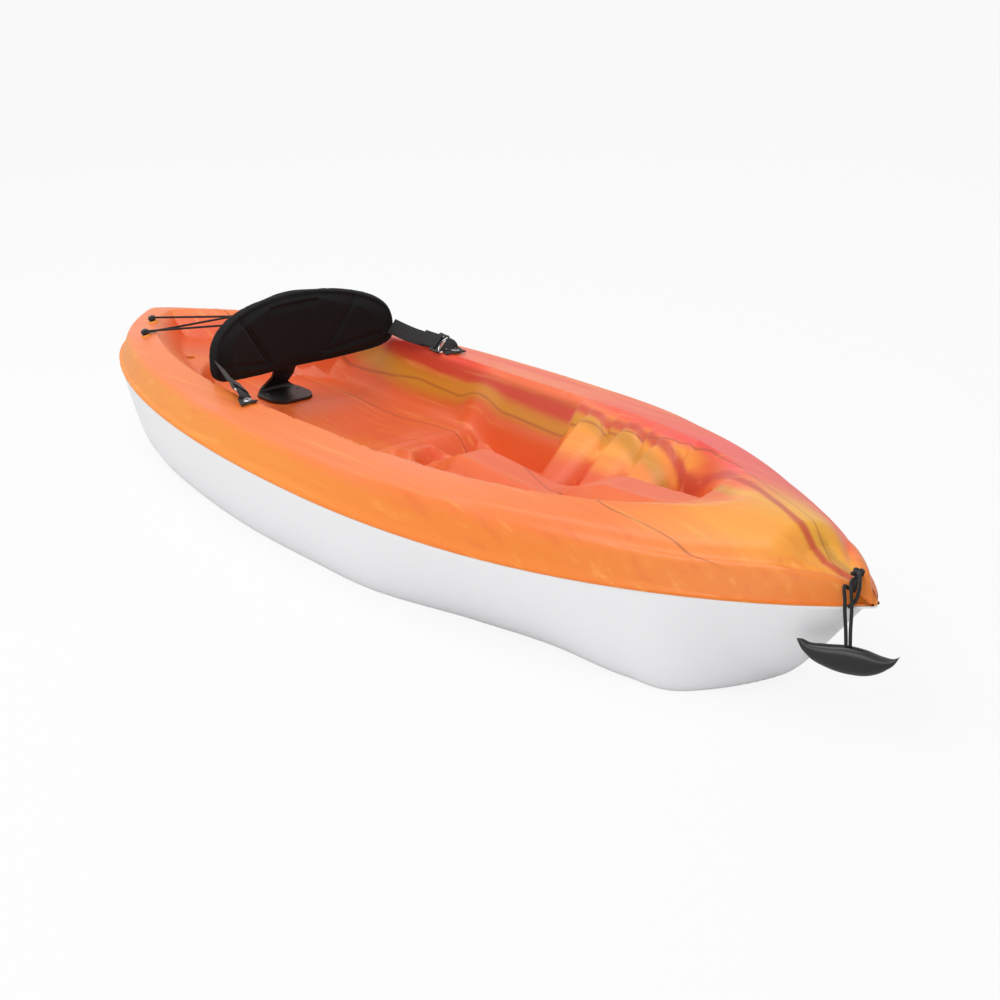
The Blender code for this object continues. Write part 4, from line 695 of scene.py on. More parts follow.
# Backrest pad: foam moulded between two layers of black laminated cloth, pressed thin along
# its channels and round its edge. It wraps forward at both ends. The panel and the tongue
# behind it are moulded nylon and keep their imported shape.
BACK_X, BACK_HEIGHT, BACK_HALF, BACK_WRAP, BACK_LEAN = -0.555, 0.208, 0.222, 0.065, math.radians(-3.0)
BACK_END, BACK_TOP, BACK_TOP_CURVE, BACK_LOW, BACK_LOW_CURVE = 0.081, 0.115, 1.90, 0.063, 2.6
BACK_CORNER, PAD_HALF_THICKNESS, PAD_EDGE_CURVE, PAD_END_CURVE = 3.0, 0.017, 5, 12
PAD_COLUMNS, PAD_ROWS, PAD_CELL, PAD_START = 72, 28, 0.0045, 0.82
PAD_PRESSURE, PAD_SWELL, PAD_MOMENTS = 4.0, 0.006, 20
CHANNELS = (((0.070, 0.050), (0.140, 0.160)), ((0.075, 0.048), (0.185, 0.072)),
            ((-0.055, 0.165), (0.055, 0.165)))
CHANNEL_DEPTH, CHANNEL_WIDTH, BACK_FACE_SHARE = 0.006, 0.006, 0.6
EDGE_CREASE, EDGE_DEPTH, EDGE_WIDTH, PAD_SKIN = 0.016, 0.0035, 0.005, 0.003
THREAD_PITCH, THREAD_DEPTH = 0.9, 0.00012


def back_frame(y):
    turn = 2 * BACK_WRAP * y / BACK_HALF ** 2
    return Vector((math.cos(BACK_LEAN), -turn * math.cos(BACK_LEAN), math.sin(BACK_LEAN))).normalized()


def back_place(y, s, offset):
    """A point of the backrest: s up its middle layer, offset forward of it."""
    x = BACK_X + BACK_WRAP * (y / BACK_HALF) ** 2 - math.sin(BACK_LEAN) * s
    return Vector((x, y, BACK_HEIGHT + math.cos(BACK_LEAN) * s)) + back_frame(y) * offset


def back_spot(point, y):
    """How far up the middle layer a point lies, and how far forward of it."""
    s = (point.z - BACK_HEIGHT) / math.cos(BACK_LEAN)
    return s, (point - back_place(y, s, 0)).dot(back_frame(y))


def back_edges(y):
    """How far up the lower and upper edges of the pad lie at y."""
    share = min(abs(y) / BACK_HALF, 1.0)
    return (BACK_END - BACK_LOW * (1 - share ** BACK_LOW_CURVE) ** (1 / BACK_CORNER),
            BACK_END + BACK_TOP * (1 - share ** BACK_TOP_CURVE) ** (1 / BACK_CORNER))


def pad_point(u, v, way):
    y = BACK_HALF * math.sin(math.pi / 2 * u)
    low, high = back_edges(y)
    s = low + (high - low) * (math.sin(math.pi / 2 * v) + 1) / 2
    full_up = math.sqrt(max(0.0, 1 - abs(v) ** PAD_EDGE_CURVE))
    full_along = math.sqrt(max(0.0, 1 - abs(u) ** PAD_END_CURVE))
    return back_place(y, s, way * PAD_HALF_THICKNESS * (full_up * full_along))


points, faces = [], []
for way in (1, -1):
    first = len(points)
    points += [pad_point(2 * i / PAD_COLUMNS - 1, 2 * j / PAD_ROWS - 1, way)
               for i in range(PAD_COLUMNS + 1) for j in range(PAD_ROWS + 1)]
    for i in range(PAD_COLUMNS):
        for j in range(PAD_ROWS):
            a = first + i * (PAD_ROWS + 1) + j
            faces.append([a, a + PAD_ROWS + 1, a + PAD_ROWS + 2, a + 1])
pad = shaped("backrest_pad_cover", points, faces)
form = bmesh.new()
form.from_mesh(pad.data)
bmesh.ops.remove_doubles(form, verts=form.verts, dist=1e-5)
bmesh.ops.recalc_face_normals(form, faces=form.faces)
for vertex in form.verts:
    y = vertex.co.y
    vertex.co -= back_frame(y) * back_spot(vertex.co, y)[1] * (1 - PAD_START)
form.to_mesh(pad.data)
form.free()
gridded = pad.modifiers.new("cells", "REMESH")
gridded.mode, gridded.voxel_size = "VOXEL", PAD_CELL
settled(pad)
cloth = pad.modifiers.new("swelling", "CLOTH")
cloth.settings.use_pressure = True
cloth.settings.uniform_pressure_force = PAD_PRESSURE
cloth.settings.effector_weights.gravity = 0.0
cloth.point_cache.frame_start, cloth.point_cache.frame_end = 1, PAD_MOMENTS
before = [v.co.copy() for v in pad.data.vertices]
for moment in range(1, PAD_MOMENTS + 1):
    bpy.context.scene.frame_set(moment)
settled(pad)
for vertex, was in zip(pad.data.vertices, before):
    moved = vertex.co - was
    vertex.co = was + moved * min(1.0, PAD_SWELL / max(moved.length, 1e-9))
bpy.context.scene.frame_set(1)
smoother = pad.modifiers.new("finer", "SUBSURF")
smoother.levels = smoother.render_levels = 1
settled(pad)


def off_segment(here, start, end):
    along = end - start
    t = max(0.0, min(1.0, (here - start).dot(along) / along.length_squared))
    return (here - start - along * t).length


for vertex in pad.data.vertices:
    y = max(-BACK_HALF, min(BACK_HALF, vertex.co.y))
    s, offset = back_spot(vertex.co, y)
    low, high = back_edges(y)
    edge = min(high - s, s - low, (BACK_HALF - abs(y)) * 1.3)
    press = EDGE_DEPTH * math.exp(-((edge - EDGE_CREASE) / EDGE_WIDTH) ** 2)
    if offset > PAD_SKIN:
        for start, end in CHANNELS:
            here = Vector((y if start[0] < 0 else abs(y), s))
            off = off_segment(here, Vector(start), Vector(end))
            press = max(press, CHANNEL_DEPTH * math.exp(-(off / CHANNEL_WIDTH) ** 2))
        vertex.co -= back_frame(y) * press
    elif offset < -PAD_SKIN:
        vertex.co += back_frame(y) * press * BACK_FACE_SHARE
pad.data.shade_smooth()
# Laminated cloth: a tight plain weave, nearly matt, that lights up only along its creases
pad_cloth, tree, shader = material("laminated_polyester_cloth", "#161416", 0.82, Specular_IOR_Level=0.22,
                                   Sheen_Weight=0.03)
place = add(tree, "ShaderNodeTexCoord").outputs["Object"]
threads = {"Vector": place, "Scale": 1000 / THREAD_PITCH / 20, "Distortion": 0.4}
warp, weft = (add(tree, "ShaderNodeTexWave", threads, wave_type="BANDS", bands_direction=way).outputs["Fac"]
              for way in "ZY")
woven = add(tree, "ShaderNodeMath", {0: warp, 1: weft}, operation="ADD").outputs[0]
embossed(tree, shader, woven, THREAD_DEPTH, 0.5)
worn = add(tree, "ShaderNodeTexNoise", {"Vector": place, "Scale": 14.0, "Detail": 4.0}).outputs["Fac"]
tone = add(tree, "ShaderNodeValToRGB", {0: worn})
tone.color_ramp.elements[0].color, tone.color_ramp.elements[1].color = linear("#09090A"), linear("#111012")
tree.links.new(tone.outputs[0], shader.inputs["Base Color"])
dressed(pad, pad_cloth, "backrest", "black_fabric", "backrest_pad")
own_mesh(pad)
for name in ("backrest_panel", "backrest_tongue_blade", "backrest_tongue_foot"):
    cad[name].material_slots[0].material = black_plastic

# Stitches: black polyester thread in the pad's channels, each a short raised stitch. The
# thread is a little lighter than the cloth, so that the rows can be seen.
STITCH_PITCH, STITCH_LENGTH, STITCH_RADIUS = 0.006, 0.0042, 0.00055
STITCH_STEPS, THREAD_PROUD, THREAD_START = 24, 0.0001, 0.06


def node_group(name, **kinds):
    """A geometry tree with a mesh in, a mesh out, named sizes and a finish."""
    group = bpy.data.node_groups.new(name, "GeometryNodeTree")
    group.interface.new_socket("Geometry", in_out="INPUT", socket_type="NodeSocketGeometry")
    for label, kind in (*kinds.items(), ("Finish", "Material")):
        group.interface.new_socket(label, in_out="INPUT", socket_type="NodeSocket" + kind)
    group.interface.new_socket("Geometry", in_out="OUTPUT", socket_type="NodeSocketGeometry")
    return group, add(group, "NodeGroupInput").outputs


def laid(group, given, points, instance, way, scale=(1, 1, 1)):
    """Lays the instance on each point, its Z turned that way, makes it real and gives it the finish."""
    turn = add(group, "FunctionNodeAlignRotationToVector", {"Vector": way}, axis="Z").outputs[0]
    each = add(group, "GeometryNodeInstanceOnPoints",
               {"Points": points, "Instance": instance, "Rotation": turn, "Scale": scale}).outputs[0]
    real = add(group, "GeometryNodeRealizeInstances", {0: each}).outputs[0]
    finished = add(group, "GeometryNodeSetMaterial", {"Geometry": real, "Material": given["Finish"]})
    add(group, "NodeGroupOutput", {0: finished.outputs[0]})


def grown(name, points, edges, group, values, ways=()):
    """Runs the tree on the points and edges and gives its result as a plain mesh piece."""
    mesh = bpy.data.meshes.new(name)
    mesh.from_pydata([tuple(p) for p in points], edges, [])
    if ways:
        kept = mesh.attributes.new("axis", "FLOAT_VECTOR", "POINT")
        kept.data.foreach_set("vector", np.asarray([tuple(way) for way in ways], dtype=np.float32).ravel())
    made = bpy.data.objects.new(name, mesh)
    bpy.context.scene.collection.objects.link(made)
    grower = made.modifiers.new("grown", "NODES")
    grower.node_group = group
    for item in group.interface.items_tree:
        if item.in_out == "INPUT" and item.name in values:
            grower[item.identifier] = values[item.name]
    settled(made)
    return made


stitch_row, given = node_group("stitch_row", Pitch="Float", Length="Float", Radius="Float")
row_line = add(stitch_row, "GeometryNodeMeshToCurve", {"Mesh": given["Geometry"]}).outputs[0]
spaced = add(stitch_row, "GeometryNodeResampleCurve", {"Curve": row_line, "Length": given["Pitch"]},
             mode="LENGTH").outputs[0]
bead = add(stitch_row, "GeometryNodeMeshUVSphere", {"Segments": 8, "Rings": 6, "Radius": given["Radius"]})
bead = add(stitch_row, "GeometryNodeSetShadeSmooth", {0: bead.outputs[0]}).outputs[0]
stretch = add(stitch_row, "ShaderNodeMath", {0: given["Length"], 1: given["Radius"]}, operation="DIVIDE")
stretch = add(stitch_row, "ShaderNodeMath", {0: stretch.outputs[0], 1: 0.5}, operation="MULTIPLY").outputs[0]
long_bead = add(stitch_row, "ShaderNodeCombineXYZ", {0: 1.0, 1: 1.0, 2: stretch}).outputs[0]
run_way = add(stitch_row, "GeometryNodeInputTangent").outputs[0]
laid(stitch_row, given, spaced, bead, run_way, long_bead)
pad_face = BVHTree.FromPolygons([v.co for v in pad.data.vertices],
                                [list(face.vertices) for face in pad.data.polygons])
points, edges = [], []
for start, end in CHANNELS:
    for side in ((1,) if start[0] < 0 else (1, -1)):
        for k in range(STITCH_STEPS + 1):
            spot = Vector(start).lerp(Vector(end), k / STITCH_STEPS)
            y = spot.x * side
            hit = pad_face.ray_cast(back_place(y, spot.y, THREAD_START), -back_frame(y))[0]
            if k and hit:
                edges.append((len(points) - 1, len(points)))
            points.append((hit or back_place(y, spot.y, 0.012)) + back_frame(y) * THREAD_PROUD)
thread = material("polyester_thread", "#2A282B", 0.55, (0.4, 0.03, 0.6))[0]
stitches = grown("pad_stitches", points, edges, stitch_row,
                 {"Pitch": STITCH_PITCH, "Length": STITCH_LENGTH, "Radius": STITCH_RADIUS, "Finish": thread})
dressed(stitches, thread, "backrest", "black_fabric")
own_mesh(stitches)

# Backrest straps: black polyester webbing from each end of the pad, threaded through a ladder
# buckle, its tail lying on top. A steel wire loop holds the buckle to a webbing tab, which is
# screwed to a boss on the rim. The ribs of the weave keep the webbing matt.
STRAP_WIDTH, STRAP_THICKNESS, STRAP_ROOT_Y, STRAP_ROOT_RISE, STRAP_SAG = 0.038, 0.0016, 0.214, 0.005, 0.004
STRAP_TILT_LOW, STRAP_TILT, ANCHOR_X, ANCHOR_Y = math.radians(44.0), math.radians(52.0), -0.300, 0.254
BOSS_RADIUS, BOSS_RISE, BOSS_DEPTH, SCREW_HOLE = 0.011, 0.003, 0.010, 0.0024
TAB_BEYOND, TAB_FLAT, TAB_THICKNESS, ANCHOR_PLATE_RADIUS, ANCHOR_PLATE = 0.016, 0.010, 0.0032, 0.009, 0.0015
BAR_REACH, BAR_RISE, BAR_RADIUS, BAR_LENGTH = 0.027, 0.0125, 0.002, 0.042
WIRE_RADIUS, WIRE_REACH, WIRE_CORNER = 0.0016, 0.009, 0.003
BUCKLE_LENGTH, BUCKLE_WIDTH, BUCKLE_THICKNESS, BUCKLE_SIDE = 0.030, 0.046, 0.006, 0.0042
BUCKLE_ROWS, BUCKLE_SLOTS = (0.0, 0.004, 0.0105, 0.0145, 0.0215, 0.0265, BUCKLE_LENGTH), (1, 3)
BUCKLE_BAR_ROWS, BUCKLE_ARCH, BUCKLE_END_SHARE, BUCKLE_EDGE = (4, 5), 0.0016, 0.90, 0.0011
FACE_RUN, BRUSH_STRETCH = 0.006, (300.0, 4000.0, 300.0)


def on_deck(x, y):
    """A point of the deck's face and the direction that the face looks in."""
    a = abs(y)
    along, across = (float(deck_height(np.array(x + dx), np.array(a + da))
                           - deck_height(np.array(x - dx), np.array(abs(a - da)))) / (2 * FACE_RUN)
                     for dx, da in ((FACE_RUN, 0), (0, FACE_RUN)))
    return deck_point(x, y), Vector((-along, -math.copysign(across, y * across), 1.0)).normalized()


def evened(path, spacing):
    """Evenly spaced points along the straight runs of a path."""
    runs = [0.0]
    for p, q in zip(path, path[1:]):
        runs.append(runs[-1] + (q - p).length)
    wanted = np.linspace(0, runs[-1], max(2, round(runs[-1] / spacing)) + 1)
    return [Vector([np.interp(w, runs, [p[axis] for p in path]) for axis in range(3)]) for w in wanted]


def eased(points, spacing):
    """Evenly spaced points of the smooth curve that passes through the given ones."""
    points = [p for n, p in enumerate(points) if n == 0 or (p - points[n - 1]).length > 1e-5]
    ends = [points[0] * 2 - points[1]] + points + [points[-1] * 2 - points[-2]]
    fine = [points[0]]
    for a, b, c, d in zip(ends, ends[1:], ends[2:], ends[3:]):
        before, length, after = (b - a).length, (c - b).length, (d - c).length
        leave = ((b - a) / before * length + (c - b) / length * before) / (before + length) * length
        arrive = ((c - b) / length * after + (d - c) / after * length) / (length + after) * length
        for k in range(1, 17):
            t = k / 16
            fine.append(b * (2 * t ** 3 - 3 * t ** 2 + 1) + leave * (t ** 3 - 2 * t ** 2 + t)
                        + c * (3 * t ** 2 - 2 * t ** 3) + arrive * (t ** 3 - t ** 2))
    return evened(fine, spacing)


def round_section(radius, sides):
    return [(radius * math.cos(2 * math.pi * k / sides), radius * math.sin(2 * math.pi * k / sides))
            for k in range(sides)]


def square_to(way, face):
    return (face - way * face.dot(way)).normalized()


def woven_finish(name, colour, rib_mm, roughness):
    """Webbing or braid on the piece's own UV map: ribs across the run and on the slant, drawn
    coarse enough to show, with painted shade between the ribs and painted light on them, and a faint sheen of
    loose fibres."""
    made, tree, shader = material(name, colour, roughness, Sheen_Weight=0.12, Sheen_Roughness=0.5)
    place = add(tree, "ShaderNodeUVMap", uv_map="along").outputs[0]
    rows = {"Vector": place, "Scale": 1000 / rib_mm / 20, "Distortion": 0.3}
    slant, ribs = (add(tree, "ShaderNodeTexWave", rows, wave_type="BANDS", bands_direction=way).outputs["Fac"]
                   for way in ("DIAGONAL", "Y"))
    ribs = add(tree, "ShaderNodeMath", {0: slant, 1: ribs}, operation="ADD").outputs[0]
    embossed(tree, shader, ribs, rib_mm / 6000, 0.7)
    # Painted shade between the ribs and painted light on their tops, laid in the base colour.
    shade = add(tree, "ShaderNodeMapRange", {"Value": ribs, "From Max": 2.0, "To Min": 0.55, "To Max": 1.25})
    base = add(tree, "ShaderNodeMix", {0: 1.0, 6: colour, 7: shade.outputs[0]}, data_type="RGBA",
               blend_type="MULTIPLY")
    tree.links.new(base.outputs[2], shader.inputs["Base Color"])
    return made


webbing = woven_finish("polyester_webbing", "#101011", 1.4, 0.82)
# Stainless steel, brushed: bright, with fine lines that soften its reflections along one way
steel, tree, shader = material("stainless_steel", "#C9CACC", 0.26, Metallic=1.0)
place = add(tree, "ShaderNodeTexCoord").outputs["Object"]
brushed = add(tree, "ShaderNodeVectorMath", {0: place, 1: BRUSH_STRETCH}, operation="MULTIPLY").outputs[0]
lines = add(tree, "ShaderNodeTexNoise", {"Vector": brushed, "Scale": 1.0, "Detail": 2.0}).outputs["Fac"]
dull = add(tree, "ShaderNodeMapRange", {"Value": lines, "To Min": 0.18, "To Max": 0.38}).outputs[0]
tree.links.new(dull, shader.inputs["Roughness"])
screw_seats, screw_ways = [], []
for side, word in ((-1, "starboard"), (1, "port")):
    seat, up = on_deck(ANCHOR_X, side * ANCHOR_Y)
    root = Vector((back_place(BACK_HALF, BACK_END, 0).x + 0.004, side * STRAP_ROOT_Y,
                   back_place(0, BACK_END, 0).z + STRAP_ROOT_RISE))
    flat_way = square_to(up, root - seat)
    bar = seat + up * BAR_RISE + flat_way * BAR_REACH
    way = (root - bar).normalized()
    low_face, high_face = (square_to(way, up * math.cos(tilt) + Vector((0, -side, 0)) * math.sin(tilt))
                           for tilt in (STRAP_TILT_LOW, STRAP_TILT))
    bar_way = low_face.cross(way)
    boss = shaped("anchor_boss_" + word, *turned(
        [(0, -BOSS_DEPTH), (0.016, -BOSS_DEPTH), (0.0135, 0.0), (BOSS_RADIUS, BOSS_RISE * 0.8),
         (BOSS_RADIUS * 0.93, BOSS_RISE), (0, BOSS_RISE)], 48, seat, up))
    dressed(boss, sheet_finish, "kayak", "deck_sheet")
    # The tab lies on the boss under its washer and screw, and wraps over the wire loop
    tab_height = BOSS_RISE + GAP + TAB_THICKNESS / 2
    tab_path = [seat + flat_way * u + up * v for u, v in (
        (-TAB_BEYOND, tab_height), (0, tab_height), (TAB_FLAT, tab_height),
        (BAR_REACH - 0.007, BAR_RISE + 0.001))]
    tab_path = eased(tab_path + [bar + low_face * (BAR_RADIUS + TAB_THICKNESS / 2 + GAP)], 0.003)
    tab_faces = [up.lerp(low_face, smooth(n / (len(tab_path) - 1))) for n in range(len(tab_path))]
    tab = swept("strap_tab_webbing_" + word, tab_path, tab_faces,
                flat_section(STRAP_WIDTH * 0.94, TAB_THICKNESS))
    dressed(tab, webbing, "kayak", "webbing", "strap_tab_" + word)
    plate_low = tab_height + TAB_THICKNESS / 2 + GAP
    plate = [(SCREW_HOLE, 0), (ANCHOR_PLATE_RADIUS, 0), (ANCHOR_PLATE_RADIUS, 0.0006),
             (ANCHOR_PLATE_RADIUS * 0.85, ANCHOR_PLATE), (SCREW_HOLE, ANCHOR_PLATE * 0.8)]
    plate = [(r, plate_low + h) for r, h in plate]
    plate = shaped("anchor_washer_" + word, *turned(plate, 48, seat, up, ring=True))
    dressed(plate, steel, "kayak", "steel", "anchor_plate_" + word)
    screw_seats.append(seat + up * (plate_low + ANCHOR_PLATE + GAP))
    screw_ways.append(up)
    # A steel wire loop, welded shut, through the tab and the buckle's first slot
    wide, reach, turn = BAR_LENGTH / 2 - 0.002, WIRE_REACH, WIRE_CORNER
    corners = [(-wide, 0), (turn - wide, -turn), (wide - turn, -turn), (wide, 0), (wide, reach - turn),
               (wide - turn, reach), (turn - wide, reach), (-wide, reach - turn), (-wide, 0)]
    loop_path = eased([bar + bar_way * u + way * v for u, v in corners], 0.0012)
    loop = swept("strap_loop_" + word, loop_path, low_face, round_section(WIRE_RADIUS, 14), closed=False)
    dressed(loop, steel, "kayak", "steel", "strap_bar_" + word)
    # Ladder buckle: a moulded frame with two slots and a raised bar, its corners rounded
    buckle_low = bar + way * (BAR_RADIUS + GAP)
    inner, outer, last_row = BUCKLE_WIDTH / 2 - BUCKLE_SIDE, BUCKLE_WIDTH / 2, len(BUCKLE_ROWS) - 1
    points, faces, open_edges = [], [], {}
    for level in (-0.5, 0.5):
        for n, v in enumerate(BUCKLE_ROWS):
            rise = level * BUCKLE_THICKNESS + (BUCKLE_ARCH if n in BUCKLE_BAR_ROWS else 0.0)
            share = BUCKLE_END_SHARE if n in (0, last_row) else 1.0
            points += [buckle_low + way * v + bar_way * u * share + low_face * rise
                       for u in (-outer, -inner, inner, outer)]
    lower = len(BUCKLE_ROWS) * 4
    for i in range(last_row):
        for j in range(3):
            if i in BUCKLE_SLOTS and j == 1:
                continue
            a = i * 4 + j
            faces += [[a, a + 4, a + 5, a + 1], [lower + a, lower + a + 1, lower + a + 5, lower + a + 4]]
    for face in faces[::2]:
        for p, q in zip(face, face[1:] + face[:1]):
            if open_edges.pop((q, p), None) is None:
                open_edges[(p, q)] = True
    faces += [[q, p, lower + p, lower + q] for p, q in open_edges]
    buckle = shaped("strap_buckle_frame_" + word, points, faces)
    soft_edge = buckle.modifiers.new("edge", "BEVEL")
    soft_edge.width, soft_edge.segments, soft_edge.limit_method = BUCKLE_EDGE, 3, "ANGLE"
    settled(buckle)
    buckle.data.shade_smooth()
    buckle.data.set_sharp_from_angle(angle=math.radians(50))
    dressed(buckle, black_plastic, "kayak", "black_plastic", "strap_buckle_" + word)
    # The strap goes over the buckle's bar to the pad, and its tail comes back over it
    low, rise, sag = buckle_low + way * 0.017, low_face * 0.0035, Vector((0, 0, -STRAP_SAG))
    strap_points = [low - rise * 0.4, low + way * 0.008 + rise * 0.8, low + way * 0.018,
                    low.lerp(root, 0.5) + sag, low.lerp(root, 0.8) + sag * 0.6, root]
    tail_points = [low + way * v + rise * h
                   for v, h in ((-0.002, 1.5), (0.010, 1.5), (0.030, 1.1), (0.048, 1.0))]
    for name, places, last_face, nodes in (("strap_webbing_", strap_points, high_face, ["strap_" + word]),
                                           ("strap_tail_", tail_points, low_face, [])):
        path = eased(places, 0.004)
        face_ways = [low_face.lerp(last_face, n / (len(path) - 1)) for n in range(len(path))]
        band = swept(name + word, path, face_ways, flat_section(STRAP_WIDTH * 0.92, STRAP_THICKNESS))
        dressed(band, webbing, None, "webbing", *nodes)
        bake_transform(band)

# Elastic cord over the tank well: two 5 mm lengths with a braided sheath, each looped round a
# low moulded button at both its ends. The front one also bears on a button between them.
BUTTONS = ((-1.045, -0.078), (-0.955, -0.143), (-0.905, 0.160), (-0.740, 0.212), (-0.822, 0.186))
REAR_ROUTE, FRONT_ROUTE, ELASTIC_RADIUS, END_WRAP, ELASTIC_SPACING = (1, 5), (3, 2, 4), 0.0025, 250.0, 0.0028
BUTTON_RADIUS, BUTTON_NECK, BUTTON_HEIGHT, BUTTON_FOOT = 0.0082, 0.0045, 0.0115, 0.0075
BUTTON_CORD_HEIGHT = 0.0055
BUTTON_PROFILE = [(SCREW_HOLE, GAP), (BUTTON_FOOT, GAP), (BUTTON_FOOT, 0.0012), (BUTTON_NECK, 0.0024),
                  (BUTTON_NECK, 0.0082), (BUTTON_RADIUS * 0.96, 0.0090), (BUTTON_RADIUS, 0.0096),
                  (BUTTON_RADIUS * 0.93, 0.0108), (BUTTON_RADIUS * 0.7, BUTTON_HEIGHT),
                  (SCREW_HOLE, BUTTON_HEIGHT)]
BUTTON_BOSS = [(0, -BOSS_DEPTH), (0.015, -BOSS_DEPTH), (0.0125, 0), (BOSS_RADIUS * 0.92, BOSS_RISE * 0.8),
               (BOSS_RADIUS * 0.85, BOSS_RISE), (0, BOSS_RISE)]
button_places = [on_deck(x, y) for x, y in BUTTONS]
for number, (seat, up) in enumerate(button_places, 1):
    button = shaped("cord_button_%d" % number,
                    *turned(BUTTON_PROFILE, 40, seat + up * BOSS_RISE, up, ring=True))
    dressed(button, black_plastic, "kayak", "black_plastic", "bungee_button_%d" % number)
    screw_seats.append(seat + up * (BOSS_RISE + BUTTON_HEIGHT))
    screw_ways.append(up)
bosses = shaped("cord_bosses", *joined([turned(BUTTON_BOSS, 40, seat, up) for seat, up in button_places]))
dressed(bosses, sheet_finish, "kayak", "deck_sheet")


def around_button(number, start, turn):
    """The cord's path round a button's neck, clockwise seen from above."""
    seat, up = button_places[number - 1]
    reach, steps = BUTTON_NECK + ELASTIC_RADIUS + GAP, max(2, round(turn / 20))
    side_x = square_to(up, Vector((1, 0, 0)))
    side_y = up.cross(side_x)
    middle = seat + up * (BOSS_RISE + BUTTON_CORD_HEIGHT)
    return [middle + (side_x * math.cos(a) + side_y * math.sin(a)) * reach
            for a in (math.radians(start - turn * k / steps) for k in range(steps + 1))]


def past(path, other, lift):
    """The path with a point wherever it passes the other one in plan, lifted off it there."""
    made = []
    for a, b in zip(path, path[1:]):
        made.append(a)
        for c, d in zip(other, other[1:]):
            own_way, other_way = (b - a).xy, (d - c).xy
            turn = own_way.cross(other_way)
            if abs(turn) < 1e-9:
                continue
            t, u = (c - a).xy.cross(other_way) / turn, (c - a).xy.cross(own_way) / turn
            if 0.02 < t < 0.98 and 0 < u < 1:
                here, there = a + (b - a) * t, c + (d - c) * u
                made.append(Vector((here.x, here.y, (here.z + there.z) / 2 + lift)))
    return made + [path[-1]]


routes = []
for route in (REAR_ROUTE, FRONT_ROUTE):
    ways = [button_places[b - 1][0] - button_places[a - 1][0] for a, b in zip(route, route[1:])]
    headings = [math.degrees(math.atan2(w.y, w.x)) for w in ways]
    path = around_button(route[0], headings[0] + 90 + END_WRAP, END_WRAP)
    for number, before, after in zip(route[1:-1], headings, headings[1:]):
        path += around_button(number, before + 90, (before - after) % 360)
    routes.append(path + around_button(route[-1], headings[-1] + 90, END_WRAP))
braid = woven_finish("braided_polyester_sheath", "#0E0E0F", 1.6, 0.75)
for word, path, other, lift in (("rear", *routes, -ELASTIC_RADIUS - GAP),
                                ("front", *routes[::-1], ELASTIC_RADIUS + GAP)):
    path = evened(past(path, other, lift), ELASTIC_SPACING)
    elastic = swept("elastic_cord_" + word, path, UP, round_section(ELASTIC_RADIUS, 12))
    dressed(elastic, braid, "kayak", "cord", "bungee_cord_" + word)

# Screws: stainless steel pan heads with a cross recess. One tree makes them all, through the
# straps' washers, the tongue's foot and the cord's buttons.
SCREW_HEAD_RADIUS, SCREW_HEAD, RECESS_LONG, RECESS_NARROW, RECESS_DEEP = 0.0048, 0.0026, 0.0052, 0.0010, 0.003
TONGUE_SCREW_X, TONGUE_SCREW_HALF = -0.606, 0.038
tongue_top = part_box("tongue_screw_port")[1][2] - SCREW_HEAD
screw_seats += [Vector((TONGUE_SCREW_X, side * TONGUE_SCREW_HALF, tongue_top)) for side in (-1, 1)]
screw_ways += [UP, UP]
pan_head, given = node_group("pan_head_screw", Radius="Float", Height="Float")
ball = add(pan_head, "GeometryNodeMeshUVSphere", {"Segments": 32, "Rings": 16, "Radius": given["Radius"]})
flat = add(pan_head, "ShaderNodeMath", {0: given["Height"], 1: given["Radius"]}, operation="DIVIDE")
flat = add(pan_head, "ShaderNodeCombineXYZ", {0: 1.0, 1: 1.0, 2: flat.outputs[0]}).outputs[0]
head = add(pan_head, "GeometryNodeTransform", {"Geometry": ball.outputs[0], "Scale": flat}).outputs[0]
lifted = add(pan_head, "ShaderNodeCombineXYZ", {2: given["Height"]}).outputs[0]
for size in ((RECESS_LONG, RECESS_NARROW, RECESS_DEEP), (RECESS_NARROW, RECESS_LONG, RECESS_DEEP)):
    notch = add(pan_head, "GeometryNodeMeshCube", {"Size": size}).outputs[0]
    notch = add(pan_head, "GeometryNodeTransform", {"Geometry": notch, "Translation": lifted}).outputs[0]
    head = add(pan_head, "GeometryNodeMeshBoolean", {0: head, 1: notch}, operation="DIFFERENCE").outputs[0]
facing = add(pan_head, "GeometryNodeInputNamedAttribute", {"Name": "axis"}, data_type="FLOAT_VECTOR")
laid(pan_head, given, given["Geometry"], head, facing.outputs[0])
screws = grown("pan_head_screws", screw_seats, [], pan_head,
               {"Radius": SCREW_HEAD_RADIUS, "Height": SCREW_HEAD, "Finish": steel}, screw_ways)
screws.data.shade_smooth()
screws.data.set_sharp_from_angle(angle=math.radians(35))
dressed(screws, steel, "kayak", "steel", *["%s_screw_%s" % (what, side) for what in ("anchor", "tongue")
                                           for side in ("starboard", "port")],
        *["bungee_screw_%d" % n for n in range(1, 6)])

# Bow handle: 6 mm black rope knotted in the bow hole, doubled over the starboard edge and
# moulded into a rubber grip that hangs below it.
ROPE_RADIUS, ROPE_EDGE_X, ROPE_EDGE_OFFSET, ROPE_SPREAD, ROPE_CLEARANCE = 0.003, 1.192, 0.0065, 0.0105, 0.0012
KNOT_RADIUS, KNOT_TURN, KNOT_WAVE, KNOT_RISE, KNOT_LIFT = 0.010, 0.0066, 0.0026, 0.0105, 0.0040
KNOT_STEPS = 40
KNOT_TAIL = ((0.004, -0.004, 0.013), (0.013, -0.010, 0.015), (0.022, -0.017, 0.007),
             (0.0245, -0.0225, -0.010), (0.0200, -0.0270, -0.026), (0.0120, -0.0330, -0.034))
EDGE_RUN, GRIP_TOP, GRIP_HEADING, GRIP_LENGTH, GRIP_THICKNESS = 0.01, 0.147, math.radians(26.0), 0.172, 0.026
GRIP_ROWS, GRIP_SIDES, BELOW_ALL = 72, 40, 0.1
